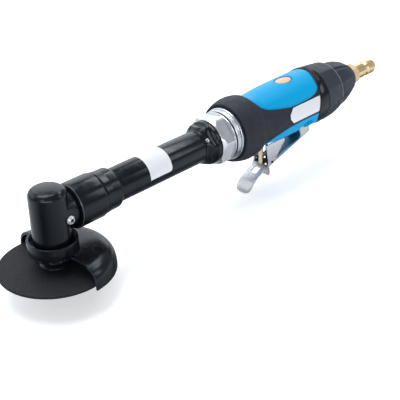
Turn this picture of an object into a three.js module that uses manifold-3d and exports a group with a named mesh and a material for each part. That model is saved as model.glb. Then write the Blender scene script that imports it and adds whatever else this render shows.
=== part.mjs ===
// Extended air cut-off tool: right-angle disc head, extension tube, air motor handle with throttle lever.
// Working frame while building: spindle axis is the Z line x = 0, tool axis is the X line z = 0,
// +X runs from the disc head to the air inlet, +Z points away from the disc. Millimetres.
import * as THREE from 'three';
import { mergeVertices } from 'three/addons/utils/BufferGeometryUtils.js';
import Module from 'manifold-3d';

const wasm = await Module();
wasm.setup();

// ---------- driving dimensions ----------
const FACET = 0.62;              // share of the listed side counts that round pieces are cut with
// disc and spindle
const DISC_R = 37.5, DISC_T = 1.8, DISC_TOP = -35.8, DISC_BORE_R = 5.0;
const DISC_BOT = DISC_TOP - DISC_T;
const FLANGE_R = 10;
// head
const HEAD_R = 12.4, HEAD_TOP = 19.6, NECK_R = 12.6, SLEEVE_R = 15.4;
const SLEEVE_X0 = 15.0, SLEEVE_X1 = 35.3, LOCK_R = 14.1, LOCK_X1 = 51.0;
// extension tube
const TUBE_R = 11.8, TUBE_IN = 9.5, TUBE_X1 = 127.8;
// guard
const GUARD_R = 39.6, GUARD_BOT = -39.4, COLLAR_R = 16.6, COLLAR_TOP = -15.8, COLLAR_BOT = -24.2;
// handle
const CORE_R = 19.6, BELL_R = 24.0, SHELL_X0 = 160.2, SHELL_X1 = 250.2;
// motor
const LINER_R = 14.6, LINER_BORE = 11.9, LINER_OFF = 1.2, ROTOR_R = 10.4;
const LINER_X0 = 153.2, LINER_X1 = 184.4;
// lever
const PIVOT = [240.2, -18.4], LATCH_PIN = [201.4, -36.6], STEM_X = 197.4;
const EAR_IN = 6.9, EAR_OUT = 8.1;
// overall position: origin at the centre of the box in plan, at its lowest point
const SHIFT = [-148.55, 0, 55.72];

// ---------- helpers ----------
const PI = Math.PI;
function toMan(geom) {
  const g0 = geom.clone(); g0.deleteAttribute('uv'); g0.deleteAttribute('normal');
  const g = mergeVertices(g0, 1e-4);
  const p = g.attributes.position.array, ix = g.index.array, tri = [];
  for (let i = 0; i < ix.length; i += 3) {
    const a = ix[i], b = ix[i + 1], c = ix[i + 2];
    if (a !== b && b !== c && a !== c) tri.push(a, b, c);
  }
  const make = t => new wasm.Manifold(new wasm.Mesh({ numProp: 3, vertProperties: new Float32Array(p), triVerts: new Uint32Array(t) }));
  let m = make(tri);
  if (m.volume() < 0) {
    const f = [];
    for (let i = 0; i < tri.length; i += 3) f.push(tri[i], tri[i + 2], tri[i + 1]);
    m = make(f);
  }
  return m;
}
function toGeom(man) {
  const m = man.getMesh(), np = m.numProp, n = m.vertProperties.length / np;
  const pos = new Float32Array(n * 3);
  for (let i = 0; i < n; i++) for (let k = 0; k < 3; k++) pos[i * 3 + k] = m.vertProperties[i * np + k];
  const g = new THREE.BufferGeometry();
  g.setAttribute('position', new THREE.BufferAttribute(pos, 3));
  g.setIndex(new THREE.BufferAttribute(new Uint32Array(m.triVerts), 1));
  g.computeVertexNormals();
  return g;
}
const facets = sides => Math.max(12, 4 * Math.round(sides * FACET / 4));
// profile of [radius, height] points, revolved about 'x' or 'z'
function rev(axis, pts, sides = 32, open = false) {
  const segs = facets(sides);
  const v = pts.map(([r, h]) => new THREE.Vector2(r, h));
  if (!open) v.push(v[0].clone());
  const g = new THREE.LatheGeometry(v, segs);
  if (axis === 'z') g.rotateX(PI / 2);
  if (axis === 'x') g.rotateZ(-PI / 2);
  return toMan(g);
}
const ring = (axis, r0, r1, a, b, segs = 32) => rev(axis, [[r0, a], [r1, a], [r1, b], [r0, b]], segs);
const rod = (axis, r, a, b, segs = 32) => rev(axis, [[0, a], [r, a], [r, b], [0, b]], segs, true);
// rod along Y at (x, z)
function rodY(x, z, r, y0, y1, segs = 20) {
  const g = new THREE.CylinderGeometry(r, r, y1 - y0, facets(segs));
  g.translate(x, (y0 + y1) / 2, z);
  return toMan(g);
}
function box(x0, x1, y0, y1, z0, z1) {
  const g = new THREE.BoxGeometry(x1 - x0, y1 - y0, z1 - z0);
  g.translate((x0 + x1) / 2, (y0 + y1) / 2, (z0 + z1) / 2);
  return toMan(g);
}
// outline in a plane, extruded along the third axis between a and b
function prism(plane, pts, a, b) {
  const s = new THREE.Shape(pts.map(([u, w]) => new THREE.Vector2(u, w)));
  const g = new THREE.ExtrudeGeometry(s, { depth: b - a, bevelEnabled: false, curveSegments: 8 });
  g.translate(0, 0, a);
  const X = new THREE.Vector3(1, 0, 0), Y = new THREE.Vector3(0, 1, 0), Z = new THREE.Vector3(0, 0, 1);
  const M = new THREE.Matrix4();
  if (plane === 'xz') M.makeBasis(X, Z, Y.clone().negate());       // depth runs along -Y
  if (plane === 'yz') M.makeBasis(Y, Z, X);
  if (plane === 'xy') M.identity();
  g.applyMatrix4(M);
  return toMan(g);
}
function smooth(pts, per = 3) {
  const c = new THREE.CatmullRomCurve3(pts.map(([u, w]) => new THREE.Vector3(u, w, 0)), false, 'centripetal');
  return c.getPoints((pts.length - 1) * per).map(p => [p.x, p.y]);
}
const union = list => list.reduce((a, b) => a.add(b));
const hexPts = (af, rot = 0, n = 6) => Array.from({ length: n }, (_, i) => {
  const a = rot + i * 2 * PI / n, r = af / 2 / Math.cos(PI / n);
  return [r * Math.cos(a), r * Math.sin(a)];
});

const group = new THREE.Group();
group.name = 'extended_air_cutoff_tool';
function put(name, man, color, roughness, metalness) {
  const m = new THREE.Mesh(toGeom(man), new THREE.MeshStandardMaterial({ color, roughness, metalness }));
  m.name = name;
  m.geometry.translate(...SHIFT);
  group.add(m);
  return m;
}
const BLACK = 0x15171b, STEEL = 0x8f949a, CHROME = 0xc9ced4, BRASS = 0xc9a35c, BLUE = 0x08a6e0,
  RUBBER = 0x2b2d31, IRON = 0x4a4d52, PLASTIC = 0x32363c, PAPER = 0xe9ebee;

// ---------- disc, flanges, spindle ----------
put('cutting_disc', ring('z', DISC_BORE_R, DISC_R, DISC_BOT, DISC_TOP, 64), 0x2b2c2f, 0.9, 0.0);
put('inner_flange', rev('z', [[3.9, -37.2], [4.7, -37.2], [4.7, -35.5], [FLANGE_R, -35.5], [FLANGE_R, -33.9], [8.2, -32.6], [6.6, -32.4], [6.6, -25.7], [3.9, -25.7]], 36), 0x202226, 0.35, 0.8);
put('outer_flange', rev('z', [[3.4, -37.9], [FLANGE_R, -37.9], [FLANGE_R, -39.2], [9.2, -39.9], [3.4, -39.9]], 36), 0x24262a, 0.35, 0.8);
{
  const head = rev('z', [[0, -26.5], [2.5, -26.5], [2.5, -40.2], [5.0, -40.2], [5.0, -42.2], [4.4, -43.2], [0, -43.2]], 28, true);
  const hex = prism('xy', hexPts(4.2), -44, -40.9);
  put('disc_screw', head.subtract(hex), 0x2a2c30, 0.35, 0.85);
}
{
  // shaft with a journal at each end, a seat for the bevel gear and a blind threaded bore from below
  const s = rev('z', [[0, 16.2], [2.9, 16.2], [2.9, 9.6], [4.6, 9.6], [4.6, -23.4], [3.6, -23.4], [3.6, -36.9], [2.8, -36.9], [2.8, -26.2], [0, -26.2]], 28, true);
  put('spindle', s, STEEL, 0.3, 0.9);
}
put('spindle_bearing_lower', ring('z', 4.9, 10.0, -22.6, -16.6, 32), STEEL, 0.3, 0.9);
put('spindle_bearing_upper', ring('z', 3.2, 7.4, 10.2, 14.0, 28), STEEL, 0.3, 0.9);
put('bearing_retainer', rev('z', [[7.0, -25.4], [10.1, -25.4], [10.1, -22.9], [7.0, -22.9]], 32), IRON, 0.4, 0.8);

// bevel pair, common apex where the two axes cross
function bevel(n, rTip, rRoot, h0, h1, wTip, wRoot) {
  // outline at distance h0 from the apex, drawn in towards the apex at h1
  const pts = [];
  for (let i = 0; i < n; i++) {
    const a = i * 2 * PI / n, t = wTip / rTip / 2, q = wRoot / rRoot / 2;
    for (const [r, d] of [[rRoot, -q], [rTip, -t], [rTip, t], [rRoot, q]])
      pts.push(new THREE.Vector2(r * Math.cos(a + d), r * Math.sin(a + d)));
  }
  const g = new THREE.ExtrudeGeometry(new THREE.Shape(pts), { depth: h0 - h1, bevelEnabled: false });
  const p = g.attributes.position;
  for (let i = 0; i < p.count; i++) {
    const z = p.getZ(i), k = (h0 - z) / h0;        // z = 0 at the large end, h0 - h1 at the small end
    p.setXYZ(i, p.getX(i) * k, p.getY(i) * k, h0 - z);
  }
  return g;                                         // large end at height h0, apex at the origin, along +Z
}
const GEAR_TEETH = 18, PINION_TEETH = 12;
{
  // gear below the tool axis: large end at z = -6
  const g = bevel(GEAR_TEETH, 9.5, 7.9, 6.0, 3.6, 0.75, 1.75);
  g.rotateX(PI);                                    // apex up, large end towards -Z
  const body = toMan(g).add(ring('z', 4.95, 7.6, -11.5, -5.9, 28)).subtract(rod('z', 4.95, -13, 0, 28));
  put('bevel_gear', body, STEEL, 0.35, 0.9);
  // pinion on the drive shaft: large end at x = 9
  const q = bevel(PINION_TEETH, 6.5, 4.95, 9.0, 5.6, 0.75, 1.7);
  q.rotateZ(PI / PINION_TEETH);                     // half a tooth, so a gap faces each gear tooth
  q.rotateY(PI / 2);
  const pin = toMan(q).add(ring('x', 3.1, 4.9, 8.9, 11.6, 24)).subtract(rod('x', 3.1, 4, 13, 24));
  put('bevel_pinion', pin, STEEL, 0.35, 0.9);
}

// ---------- head housing ----------
{
  const outer = rev('z', [[0, HEAD_TOP], [7.4, HEAD_TOP - 0.2], [10.2, HEAD_TOP - 1.3], [11.8, HEAD_TOP - 3.2], [HEAD_R, HEAD_TOP - 6],
    [HEAD_R + 0.2, -17.6], [13.4, -18.4], [13.4, -25.0], [0, -25.0]], 48, true);
  const neck = rod('x', NECK_R, 2, 14.7, 40).add(rod('x', 11.9, 14.6, 35.2, 40));
  const bore = rod('z', 10.4, -26, 8.6, 36).add(rod('z', 7.7, 8.5, 16.6, 28));
  const bore2 = rod('x', 8.7, 10.9, 36, 32).add(rod('x', 7.2, 2, 11, 28));
  const nip = rodY(6.6, -1.2, 1.7, -14, -9, 16);
  put('head_housing', outer.add(neck).subtract(bore).subtract(bore2).subtract(nip), BLACK, 0.22, 0.3);
}
{
  const g = rev('z', [[0, 12.0], [1.4, 12.0], [1.4, 12.9], [2.9, 12.9], [2.9, 13.7], [1.9, 14.5], [0.7, 14.6], [0.6, 14.0], [0, 14.0]], 20, true);
  // profile stands along +Z: turn it to face -Y and set it on the side of the neck
  const m = g.rotate([90, 0, 0]).translate([6.6, 0, -1.2]);
  put('grease_nipple', m, CHROME, 0.25, 0.9);
}

// ---------- guard ----------
{
  const shell = rev('z', [[13.8, -24.5], [17.5, -24.5], [27, -24.6], [31, -25.1], [34, -26.3], [36.5, -28.2], [38.2, -30.9], [39.1, -34.0], [GUARD_R, -37.4], [GUARD_R, GUARD_BOT],
    [38.2, GUARD_BOT], [38.15, -37.4], [37.75, -34.3], [36.9, -31.6], [35.4, -29.3], [33.2, -27.8], [30.6, -26.7], [26.9, -26.1], [17.4, -26.0], [13.8, -26.0]], 56);
  const front = box(-60, 1.6, -60, 60, -60, 0).subtract(rod('z', 16.3, -61, 1, 40));
  put('guard_shell', shell.subtract(front), BLACK, 0.2, 0.4);
}
const SCREW_A = -124 * PI / 180;
{
  const c = rev('z', [[13.7, COLLAR_BOT], [COLLAR_R - 0.5, COLLAR_BOT], [COLLAR_R, COLLAR_BOT + 0.5], [COLLAR_R, COLLAR_TOP - 0.3], [COLLAR_R - 0.3, COLLAR_TOP], [15.3, COLLAR_TOP], [13.7, -18.2]], 48);
  const hole = rod('x', 2.0, 12, 18, 16).rotate([0, 0, -124]).translate([0, 0, -20.4]);
  put('guard_collar', c.subtract(hole), BLACK, 0.25, 0.4);
  const s = rod('x', 1.7, 13.8, 16.1, 16).subtract(prism('yz', hexPts(1.7), 15.0, 17)).rotate([0, 0, -124]).translate([0, 0, -20.4]);
  put('guard_clamp_screw', s, IRON, 0.4, 0.8);
}

// ---------- sleeve, lock ring, tube ----------
put('head_sleeve', rev('x', [[12.2, SLEEVE_X0], [14.6, SLEEVE_X0], [SLEEVE_R, SLEEVE_X0 + 0.9], [SLEEVE_R, SLEEVE_X1], [12.2, SLEEVE_X1]], 48), BLACK, 0.18, 0.4);
put('lock_ring', rev('x', [[12.1, 35.6], [LOCK_R + 0.1, 35.6], [LOCK_R, 48.6], [LOCK_R - 0.5, 49.4], [12.5, LOCK_X1], [12.1, LOCK_X1]], 48), BLACK, 0.18, 0.4);
put('extension_tube', ring('x', TUBE_IN, TUBE_R, 35.6, TUBE_X1, 48), BLACK, 0.2, 0.4);
{
  const skin = ring('x', TUBE_R + 0.3, TUBE_R + 0.6, 75, 95, 48);
  // wraps from a little past the top round to just below mid height on the near side
  const far = prism('yz', [[0, 0], [16, 8], [16, -16], [-16, -16], [-16, -3.2]], 70, 100);
  put('tube_label', skin.subtract(far), PAPER, 0.6, 0.0);
}
put('pinion_bearing', ring('x', 3.3, 8.4, 12.2, 19.6, 28), STEEL, 0.3, 0.9);
put('tube_bearing_front', ring('x', 3.3, 9.2, 40, 46, 28), STEEL, 0.3, 0.9);
put('tube_bearing_rear', ring('x', 3.3, 9.2, 118, 124, 28), STEEL, 0.3, 0.9);
put('drive_shaft', rod('x', 3.0, 4.6, 133.4, 24), STEEL, 0.3, 0.9);
put('shaft_coupling', rev('x', [[0, 133.7], [5.4, 133.7], [5.4, 143.8], [4.2, 143.8], [4.2, 136.6], [0, 136.6]], 24, true), IRON, 0.4, 0.8);
{
  // flared tube end: wrench flats, then a round rim, with a threaded spigot that enters the clamp nut
  const a = rev('x', [[9.4, 128.1], [11.9, 128.1], [12.6, 130.4], [14.6, 132.2], [15.6, 134.0], [16.2, 136.8], [16.2, 139.6], [13.2, 139.6], [13.2, 145.2], [9.4, 145.2]], 48);
  const hx = prism('yz', hexPts(27.6, PI / 6), 120, 136.6).add(rod('x', 20, 136.6, 150, 32));
  put('rear_adapter', a.intersect(hx).subtract(rod('z', 1.9, 10.6, 20, 16).rotate([54, 0, 0]).translate([130.6, 0, 0])), BLACK, 0.18, 0.4);
}

// ---------- clamp nut and front rings ----------
{
  const n = rev('x', [[13.5, 139.9], [16.6, 139.9], [18.4, 142.6], [18.4, 151.6], [18.0, 152.1], [15.7, 152.1], [15.7, 145.6], [13.5, 145.6]], 48);
  // two wrench flats, tilted as the nut happens to stand
  const c = box(143.2, 160, 16.5, 30, -30, 30).add(box(143.2, 160, -30, -16.5, -30, 30)).rotate([-40, 0, 0]);
  put('clamp_nut', n.subtract(c.intersect(box(143.2, 151.0, -40, 40, -40, 40))), CHROME, 0.18, 0.95);
}
put('retaining_ring', ring('x', 17.5, 18.9, 153.2, 156.6, 40), CHROME, 0.15, 0.95);
put('bezel_ring', rev('x', [[17.5, 156.9], [19.5, 156.9], [19.5, 159.6], [17.5, 159.6]], 40), CHROME, 0.2, 0.9);
put('motor_housing', rev('x', [[14.1, 145.9], [15.5, 145.9], [15.5, 152.5], [17.2, 152.5], [17.2, 191.0], [14.9, 191.0], [14.9, 152.95], [14.1, 152.95]], 40), IRON, 0.35, 0.85);

// ---------- air motor ----------
put('front_end_plate', ring('x', 8.3, 13.85, 146.6, 152.9, 32), STEEL, 0.35, 0.8);
put('rotor_bearing_front', ring('x', 4.2, 8.0, 147.0, 152.4, 28), STEEL, 0.3, 0.9);
{
  const l = rod('x', LINER_R, LINER_X0, LINER_X1, 36).subtract(rod('x', LINER_BORE, LINER_X0 - 1, LINER_X1 + 1, 36).translate([0, 0, LINER_OFF]));
  put('cylinder_liner', l, STEEL, 0.35, 0.85);
}
put('rear_end_plate', ring('x', 8.3, LINER_R, LINER_X1 + 0.3, 190.7, 32), STEEL, 0.35, 0.8);
put('rotor_bearing_rear', ring('x', 4.2, 8.0, 185.2, 190.3, 28), STEEL, 0.3, 0.9);
{
  let r = rod('x', ROTOR_R, LINER_X0 + 0.5, LINER_X1 - 0.5, 32).add(rod('x', 3.9, 136.9, 190.2, 24));
  for (let i = 0; i < 4; i++) {
    r = r.subtract(box(150, 190, -0.9, 0.9, 5.4, 12).subtract(box(150, LINER_X0 + 0.4, -2, 2, 0, 13)).subtract(box(LINER_X1 - 0.4, 191, -2, 2, 0, 13)).rotate([45 + i * 90, 0, 0]));
    put('vane_' + (i + 1), box(LINER_X0 + 1.0, LINER_X1 - 1.0, -0.6, 0.6, 5.8, ROTOR_R - 0.1).rotate([45 + i * 90, 0, 0]), 0x7a5a38, 0.7, 0.0);
  }
  put('rotor', r, STEEL, 0.3, 0.9);
}

// ---------- handle ----------
// outer surface of the whole grip, as [radius, x]
const GRIP = [[20.9, 159.2], [21.7, 159.2], [22.4, 160.7], [23.6, 165.4], [BELL_R, 169], [23.85, 173.5], [23.1, 177.4], [21.9, 180.4], [20.9, 183], [20.4, 186.5], [20.7, 193.3], [21.3, 202], [21.8, 220], [22.0, 238], [22.2, 250.5]];
// raised panel on the top, seen from above
const PANEL = (() => {
  const half = smooth([[178.3, 0], [178.8, 6.5], [181.4, 12.4], [185.6, 15.4], [197, 18.2], [210, 19.1], [226, 19.2], [236, 18.9], [240.4, 18.1], [242.6, 15.5], [244.6, 10], [246.2, 5], [247.0, 0]], 2);
  return half.concat(half.slice(1, -1).reverse().map(([x, y]) => [x, -y]));
})();
// bare underside, seen from the side
const UNDER = [[179.5, -32], [181.5, -20.5], [186, -15.2], [193, -10.8], [203, -7.2], [215, -5.6], [232, -5.2], [250.6, -5.4], [250.6, -32]];
// front edge of the rear band, seen from the side: it reaches furthest forward at mid height
const bandX = z => 240.3 + (z > -5 ? 9.1 * ((z + 5) / 27.3) ** 2 : 7.7 * ((z + 5) / 15) ** 2);
const BAND = d => Array.from({ length: 17 }, (_, i) => [Math.min(bandX(i * 3 - 24), 250.2) - d, i * 3 - 24]).concat([[260, 24], [260, -24]]);
const grow = (pts, d, cx, cz) => pts.map(([u, w]) => { const l = Math.hypot(u - cx, w - cz); return [u + (u - cx) / l * d, w + (w - cz) / l * d]; });
const full = rev('x', [[0, SHELL_X0], ...GRIP.filter(p => p[1] > 161 && p[1] < 250).map(([r, x]) => [r, x]), [22.2, SHELL_X1], [0, SHELL_X1]], 56, true);
const bandIn = prism('xz', BAND(0), -41, 41), bandOut = prism('xz', BAND(0.35), -41, 41);
const panelIn = prism('xy', PANEL, 0, 40), panelOut = prism('xy', grow(PANEL, 0.35, 213, 0), 0, 41);
const underIn = prism('xz', UNDER, -40, 40), underOut = prism('xz', grow(UNDER, 0.35, 215, -22), -41, 41);
{
  const core = rod('x', CORE_R, SHELL_X0, SHELL_X1, 56);
  let s = core.add(full.intersect(panelIn)).add(full.intersect(underIn).subtract(bandOut));
  s = s.subtract(rod('x', 17.5, 150, 191.3, 40));                               // motor bore
  s = s.subtract(rod('z', 4.4, -40, 11.4, 24).translate([STEM_X, 0, 0]));         // valve bore
  s = s.subtract(rod('x', 4.6, STEM_X + 1, 236, 24)).subtract(rod('x', 6.6, 235, 260, 28));   // air way and inlet seat
  s = s.subtract(rodY(PIVOT[0], PIVOT[1], 1.75, -12, 12, 16));                    // lever pin hole
  for (const sgn of [1, -1]) {
    const y0 = sgn > 0 ? 6.5 : -8.6, y1 = sgn > 0 ? 8.6 : -6.5;
    s = s.subtract(box(192.6, 248.6, y0, y1, -30, -13.4));                        // grooves the lever ears rise into
    s = s.subtract(prism('xz', [[221.4, -30], [222.5, -16], [224.6, -11.4], [227.5, -9.0], [235.0, -8.7], [236.2, -10.5], [237.4, -16], [238, -30]], sgn > 0 ? 6.5 : -30, sgn > 0 ? 30 : -6.5));   // side scallop ahead of the pivot
  }
  s = s.subtract(box(202.3, 216.5, -4.1, 4.1, -30, -14.5));                       // pocket the lock strut folds into
  put('handle_shell', s, BLUE, 0.35, 0.0);
}
{
  const skin = rev('x', [[19.9, 160.4], ...GRIP, [19.9, 250.5]], 56);
  put('rubber_grip', skin.subtract(panelOut).subtract(underOut).subtract(bandOut), RUBBER, 0.75, 0.0);
}
{
  // plain oval plate let into the top panel
  const oval = Array.from({ length: 28 }, (_, i) => [222 + 6.4 * Math.cos(i * 2 * PI / 28), 4.4 * Math.sin(i * 2 * PI / 28)]);
  const plate = ring('x', 22.15, 22.55, 210, 234, 56).intersect(prism('xy', oval, 0, 40));
  put('badge_plate', plate, 0xd9a27a, 0.3, 0.6);
}
{
  const lab = ring('x', 22.2, 22.5, 200, 250, 56).intersect(prism('xz', [[206.2, 4.2], [210.4, 8.3], [241.5, 8.3], [240.3, 2.8], [239.5, -3.2], [210.0, -3.2], [206.2, 1.0]], -40, 0));
  put('side_label', lab, PAPER, 0.5, 0.0);
}

// ---------- rear ----------
put('rear_band', rev('x', [[7.6, 250.5], [19.9, 250.5], [19.9, 240], [22.35, 240], [22.6, 246], [22.5, 251.2], [22.1, 251.8], [7.6, 251.8]], 48).intersect(bandIn), 0x1d1f23, 0.3, 0.1);
put('exhaust_deflector', rev('x', [[17.6, 252.2], [22.3, 252.2], [22.6, 253.2], [22.2, 259.5], [21.5, 265.5], [20.5, 271.4], [17.6, 271.4]], 32), PLASTIC, 0.5, 0.0);
put('silencer', ring('x', 10.2, 16.8, 252.5, 271.2, 28), 0x8d8a80, 0.95, 0.0);
put('rear_cap', rev('x', [[7.1, 271.8], [19.9, 271.8], [19.8, 275.0], [18.9, 280.0], [17.2, 286.4], [15.4, 291.8], [13.0, 296.6], [10.9, 299.2], [9.6, 300.6], [8.6, 301.2], [7.1, 301.2]], 20), PLASTIC, 0.5, 0.0);
put('inlet_bushing', rev('x', [[3.2, 237.0], [6.3, 237.0], [6.3, 250.4], [6.8, 250.4], [6.8, 301.4], [4.9, 301.4], [4.9, 287.6], [3.2, 287.6]], 28), STEEL, 0.35, 0.85);
{
  const thread = ring('x', 2.8, 4.6, 288.2, 302.4, 24);
  const hex = prism('yz', hexPts(15.4, PI / 6), 301.8, 308.4).intersect(rev('x', [[0, 301.8], [8.3, 301.8], [8.9, 302.6], [8.9, 307.6], [8.3, 308.4], [0, 308.4]], 36, true)).subtract(rod('x', 2.8, 300, 310, 24));
  const plug = rev('x', [[2.8, 308.3], [6.6, 308.3], [6.6, 309.2], [6.1, 309.8], [6.1, 319.4], [4.7, 320.6], [4.7, 323.0], [6.0, 324.6], [6.0, 329.6], [5.6, 331.6], [4.6, 333.6], [3.8, 334.6], [2.8, 334.6]], 32);
  put('air_plug', thread.add(hex).add(plug), BRASS, 0.3, 0.9);
}

// ---------- throttle valve ----------
put('valve_bushing', rev('z', [[2.15, -20.9], [4.1, -20.9], [4.1, -9.0], [2.15, -9.0]], 24).translate([STEM_X, 0, 0]), BRASS, 0.35, 0.85);
put('valve_stem', rev('z', [[0, -39.0], [0.7, -39.0], [1.5, -37.9], [1.5, -30.4], [1.85, -29.6], [1.85, -8.7], [3.6, -8.4], [3.6, -6.8], [0, -6.8]], 20, true).translate([STEM_X, 0, 0]), 0xd8c19a, 0.4, 0.3);
function coil(r, wire, z0, z1, turns, x, segs = 5, per = 10) {
  class Helix extends THREE.Curve {
    getPoint(t) { const a = t * turns * 2 * PI; return new THREE.Vector3(r * Math.cos(a), r * Math.sin(a), z0 + (z1 - z0) * t); }
  }
  const sec = new THREE.Shape(Array.from({ length: segs }, (_, i) => new THREE.Vector2(wire * Math.cos(i * 2 * PI / segs), wire * Math.sin(i * 2 * PI / segs))));
  const g = new THREE.ExtrudeGeometry(sec, { steps: turns * per, extrudePath: new Helix(), bevelEnabled: false });
  g.translate(x, 0, 0);
  return toMan(g);
}
put('valve_spring', coil(2.9, 0.45, -5.9, 10.6, 5, STEM_X), STEEL, 0.35, 0.9);

// ---------- throttle lever ----------
const PLATE = [[244.8, -25.9], [235.9, -28.4], [221.2, -32.5], [202.0, -38.0], [192.0, -41.5], [186.5, -44.1], [182.5, -46.4], [179.5, -49.1], [177.2, -52.2], [175.9, -55.2]];
const T = 1.4;
function offset(pts, d) {   // shift a polyline sideways
  return pts.map((p, i) => {
    const a = pts[Math.max(i - 1, 0)], b = pts[Math.min(i + 1, pts.length - 1)];
    const dx = b[0] - a[0], dz = b[1] - a[1], l = Math.hypot(dx, dz);
    return [p[0] - dz / l * d, p[1] + dx / l * d];
  });
}
{
  const line = smooth(PLATE, 2), low = offset(line, T);       // the line runs towards -X, so +d is downwards
  const plate = prism('xz', line.concat(low.slice().reverse()), -EAR_OUT, EAR_OUT);
  // side ears: pivot eye at the rear, nothing in between, tall wing at the front
  const ear = [[245.2, -19.4], [245.2, -24.6], [243.8, -26.8], [236.0, -29.4], [207.5, -37.4], [200.2, -39.6], [198.5, -38.6], [197.2, -31.4], [195.4, -22.2], [196.2, -21.2], [214.6, -21.2], [216.4, -23.2],
    [205.2, -34.6], [207.6, -37.0], [235.4, -29.1], [236.0, -27.6], [234.0, -21.0], [235.9, -16.8], [238.4, -14.9], [241.6, -14.8], [244.2, -16.5]];
  const ears = prism('xz', ear, -EAR_OUT, -EAR_IN).add(prism('xz', ear, EAR_IN, EAR_OUT));
  const planPts = [[246, -8.1], [246, 8.1], [197.0, 8.1], [194.0, 7.3], [190.0, 6.9], [186.0, 6.9], [182.0, 7.0], [179.0, 7.2], [177.3, 6.6], [176.0, 5.0], [175.0, 3.0], [175.0, -3.0], [176.0, -5.0], [177.3, -6.6], [179.0, -7.2], [182.0, -7.0], [186.0, -6.9], [190.0, -6.9], [194.0, -7.3], [197.0, -8.1]];
  let lv = plate.intersect(prism('xy', planPts, -70, 0)).add(ears);
  lv = lv.subtract(box(187.6, 194.4, -2.9, 2.9, -60, -30));                      // open window
  lv = lv.subtract(box(198.8, 206.6, 1.9, 4.3, -60, -34)).subtract(box(198.8, 206.6, -6.6, -1.9, -60, -34));   // slots for the legs of the finger tab and its spring
  lv = lv.subtract(rodY(PIVOT[0], PIVOT[1], 1.85, -12, 12, 16)).subtract(rodY(LATCH_PIN[0], LATCH_PIN[1], 1.25, -12, 12, 16));
  put('throttle_lever', lv, CHROME, 0.15, 0.95);
}
put('lever_pin', rodY(PIVOT[0], PIVOT[1], 1.45, -8.7, 8.7, 16), STEEL, 0.3, 0.9);
{
  const [px, pz] = LATCH_PIN;
  // forked strut above, two legs through the lever below, joined by the finger tab
  const side = [[px - 1.2, pz], [px - 1.2, -31.5], [px - 1.3, -22.5], [px + 0.1, -22.5], [px + 1.0, -31.5], [px + 1.6, pz], [px + 1.8, -44.0], [px + 0.2, -44.0], [px - 0.2, -39.6]];
  const leg = y => prism('xz', side, y, y + 1.3).add(rodY(px, pz, 2.1, y, y + 1.3, 18));
  const tab = prism('xz', [[px + 0.1, -43.0], [px + 1.7, -43.0], [px + 2.9, -49.4], [px + 2.6, -50.8], [px + 1.5, -50.6]], -3.6, 3.6);
  const l = leg(2.3).add(leg(-3.6)).add(tab).subtract(rodY(px, pz, 1.2, -5, 5, 16));
  put('safety_latch', l, 0x1b1c1f, 0.35, 0.6);
}
put('latch_pin', rodY(LATCH_PIN[0], LATCH_PIN[1], 0.9, -8.5, 8.5, 14), STEEL, 0.3, 0.9);
{
  // torsion spring beside the strut
  class Helix extends THREE.Curve {
    getPoint(t) { const a = t * 3 * 2 * PI; return new THREE.Vector3(LATCH_PIN[0] + 1.7 * Math.cos(a), -4.3 - 2.0 * t, LATCH_PIN[1] + 1.7 * Math.sin(a)); }
  }
  const sec = new THREE.Shape(Array.from({ length: 6 }, (_, i) => new THREE.Vector2(0.3 * Math.cos(i * PI / 3), 0.3 * Math.sin(i * PI / 3))));
  put('latch_spring', toMan(new THREE.ExtrudeGeometry(sec, { steps: 36, extrudePath: new Helix(), bevelEnabled: false })), STEEL, 0.35, 0.9);
}
{
  // bright pin end in the side of the flared tube end
  put('adapter_pin', rod('z', 1.6, 10.9, 13.9, 16).rotate([54, 0, 0]).translate([130.6, 0, 0]), CHROME, 0.2, 0.9);
}

export default group;
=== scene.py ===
import math
import bpy
import bmesh
import numpy as np
from mathutils import Matrix, Vector
from mathutils.geometry import delaunay_2d_cdt


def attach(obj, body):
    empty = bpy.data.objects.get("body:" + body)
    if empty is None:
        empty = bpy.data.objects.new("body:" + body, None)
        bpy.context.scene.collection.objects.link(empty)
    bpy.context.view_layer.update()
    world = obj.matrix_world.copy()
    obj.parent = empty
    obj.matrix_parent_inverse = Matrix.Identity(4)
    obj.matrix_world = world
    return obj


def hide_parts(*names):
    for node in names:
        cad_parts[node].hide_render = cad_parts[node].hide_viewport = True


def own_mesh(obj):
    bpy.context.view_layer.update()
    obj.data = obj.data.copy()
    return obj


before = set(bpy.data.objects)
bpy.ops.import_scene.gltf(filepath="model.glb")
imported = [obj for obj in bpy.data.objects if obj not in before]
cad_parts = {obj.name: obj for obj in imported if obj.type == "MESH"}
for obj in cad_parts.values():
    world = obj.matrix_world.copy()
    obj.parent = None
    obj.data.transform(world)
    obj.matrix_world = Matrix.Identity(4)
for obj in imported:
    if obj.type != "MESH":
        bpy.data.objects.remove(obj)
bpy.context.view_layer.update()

# Lengths below are millimetres in the drawing frame: spindle axis on the Z line x = 0, tool axis on the X line z = 0.
SHIFT = np.array([-148.55, 0.0, 55.72])
PI = math.pi
COL = bpy.data.collections.new("looks")
bpy.context.scene.collection.children.link(COL)


# ------------------------------------------------------------------ materials
def lin(r, g, b):
    f = lambda c: (c / 255 / 12.92) if c <= 10 else ((c / 255 + 0.055) / 1.055) ** 2.4
    return (f(r), f(g), f(b), 1.0)


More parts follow.
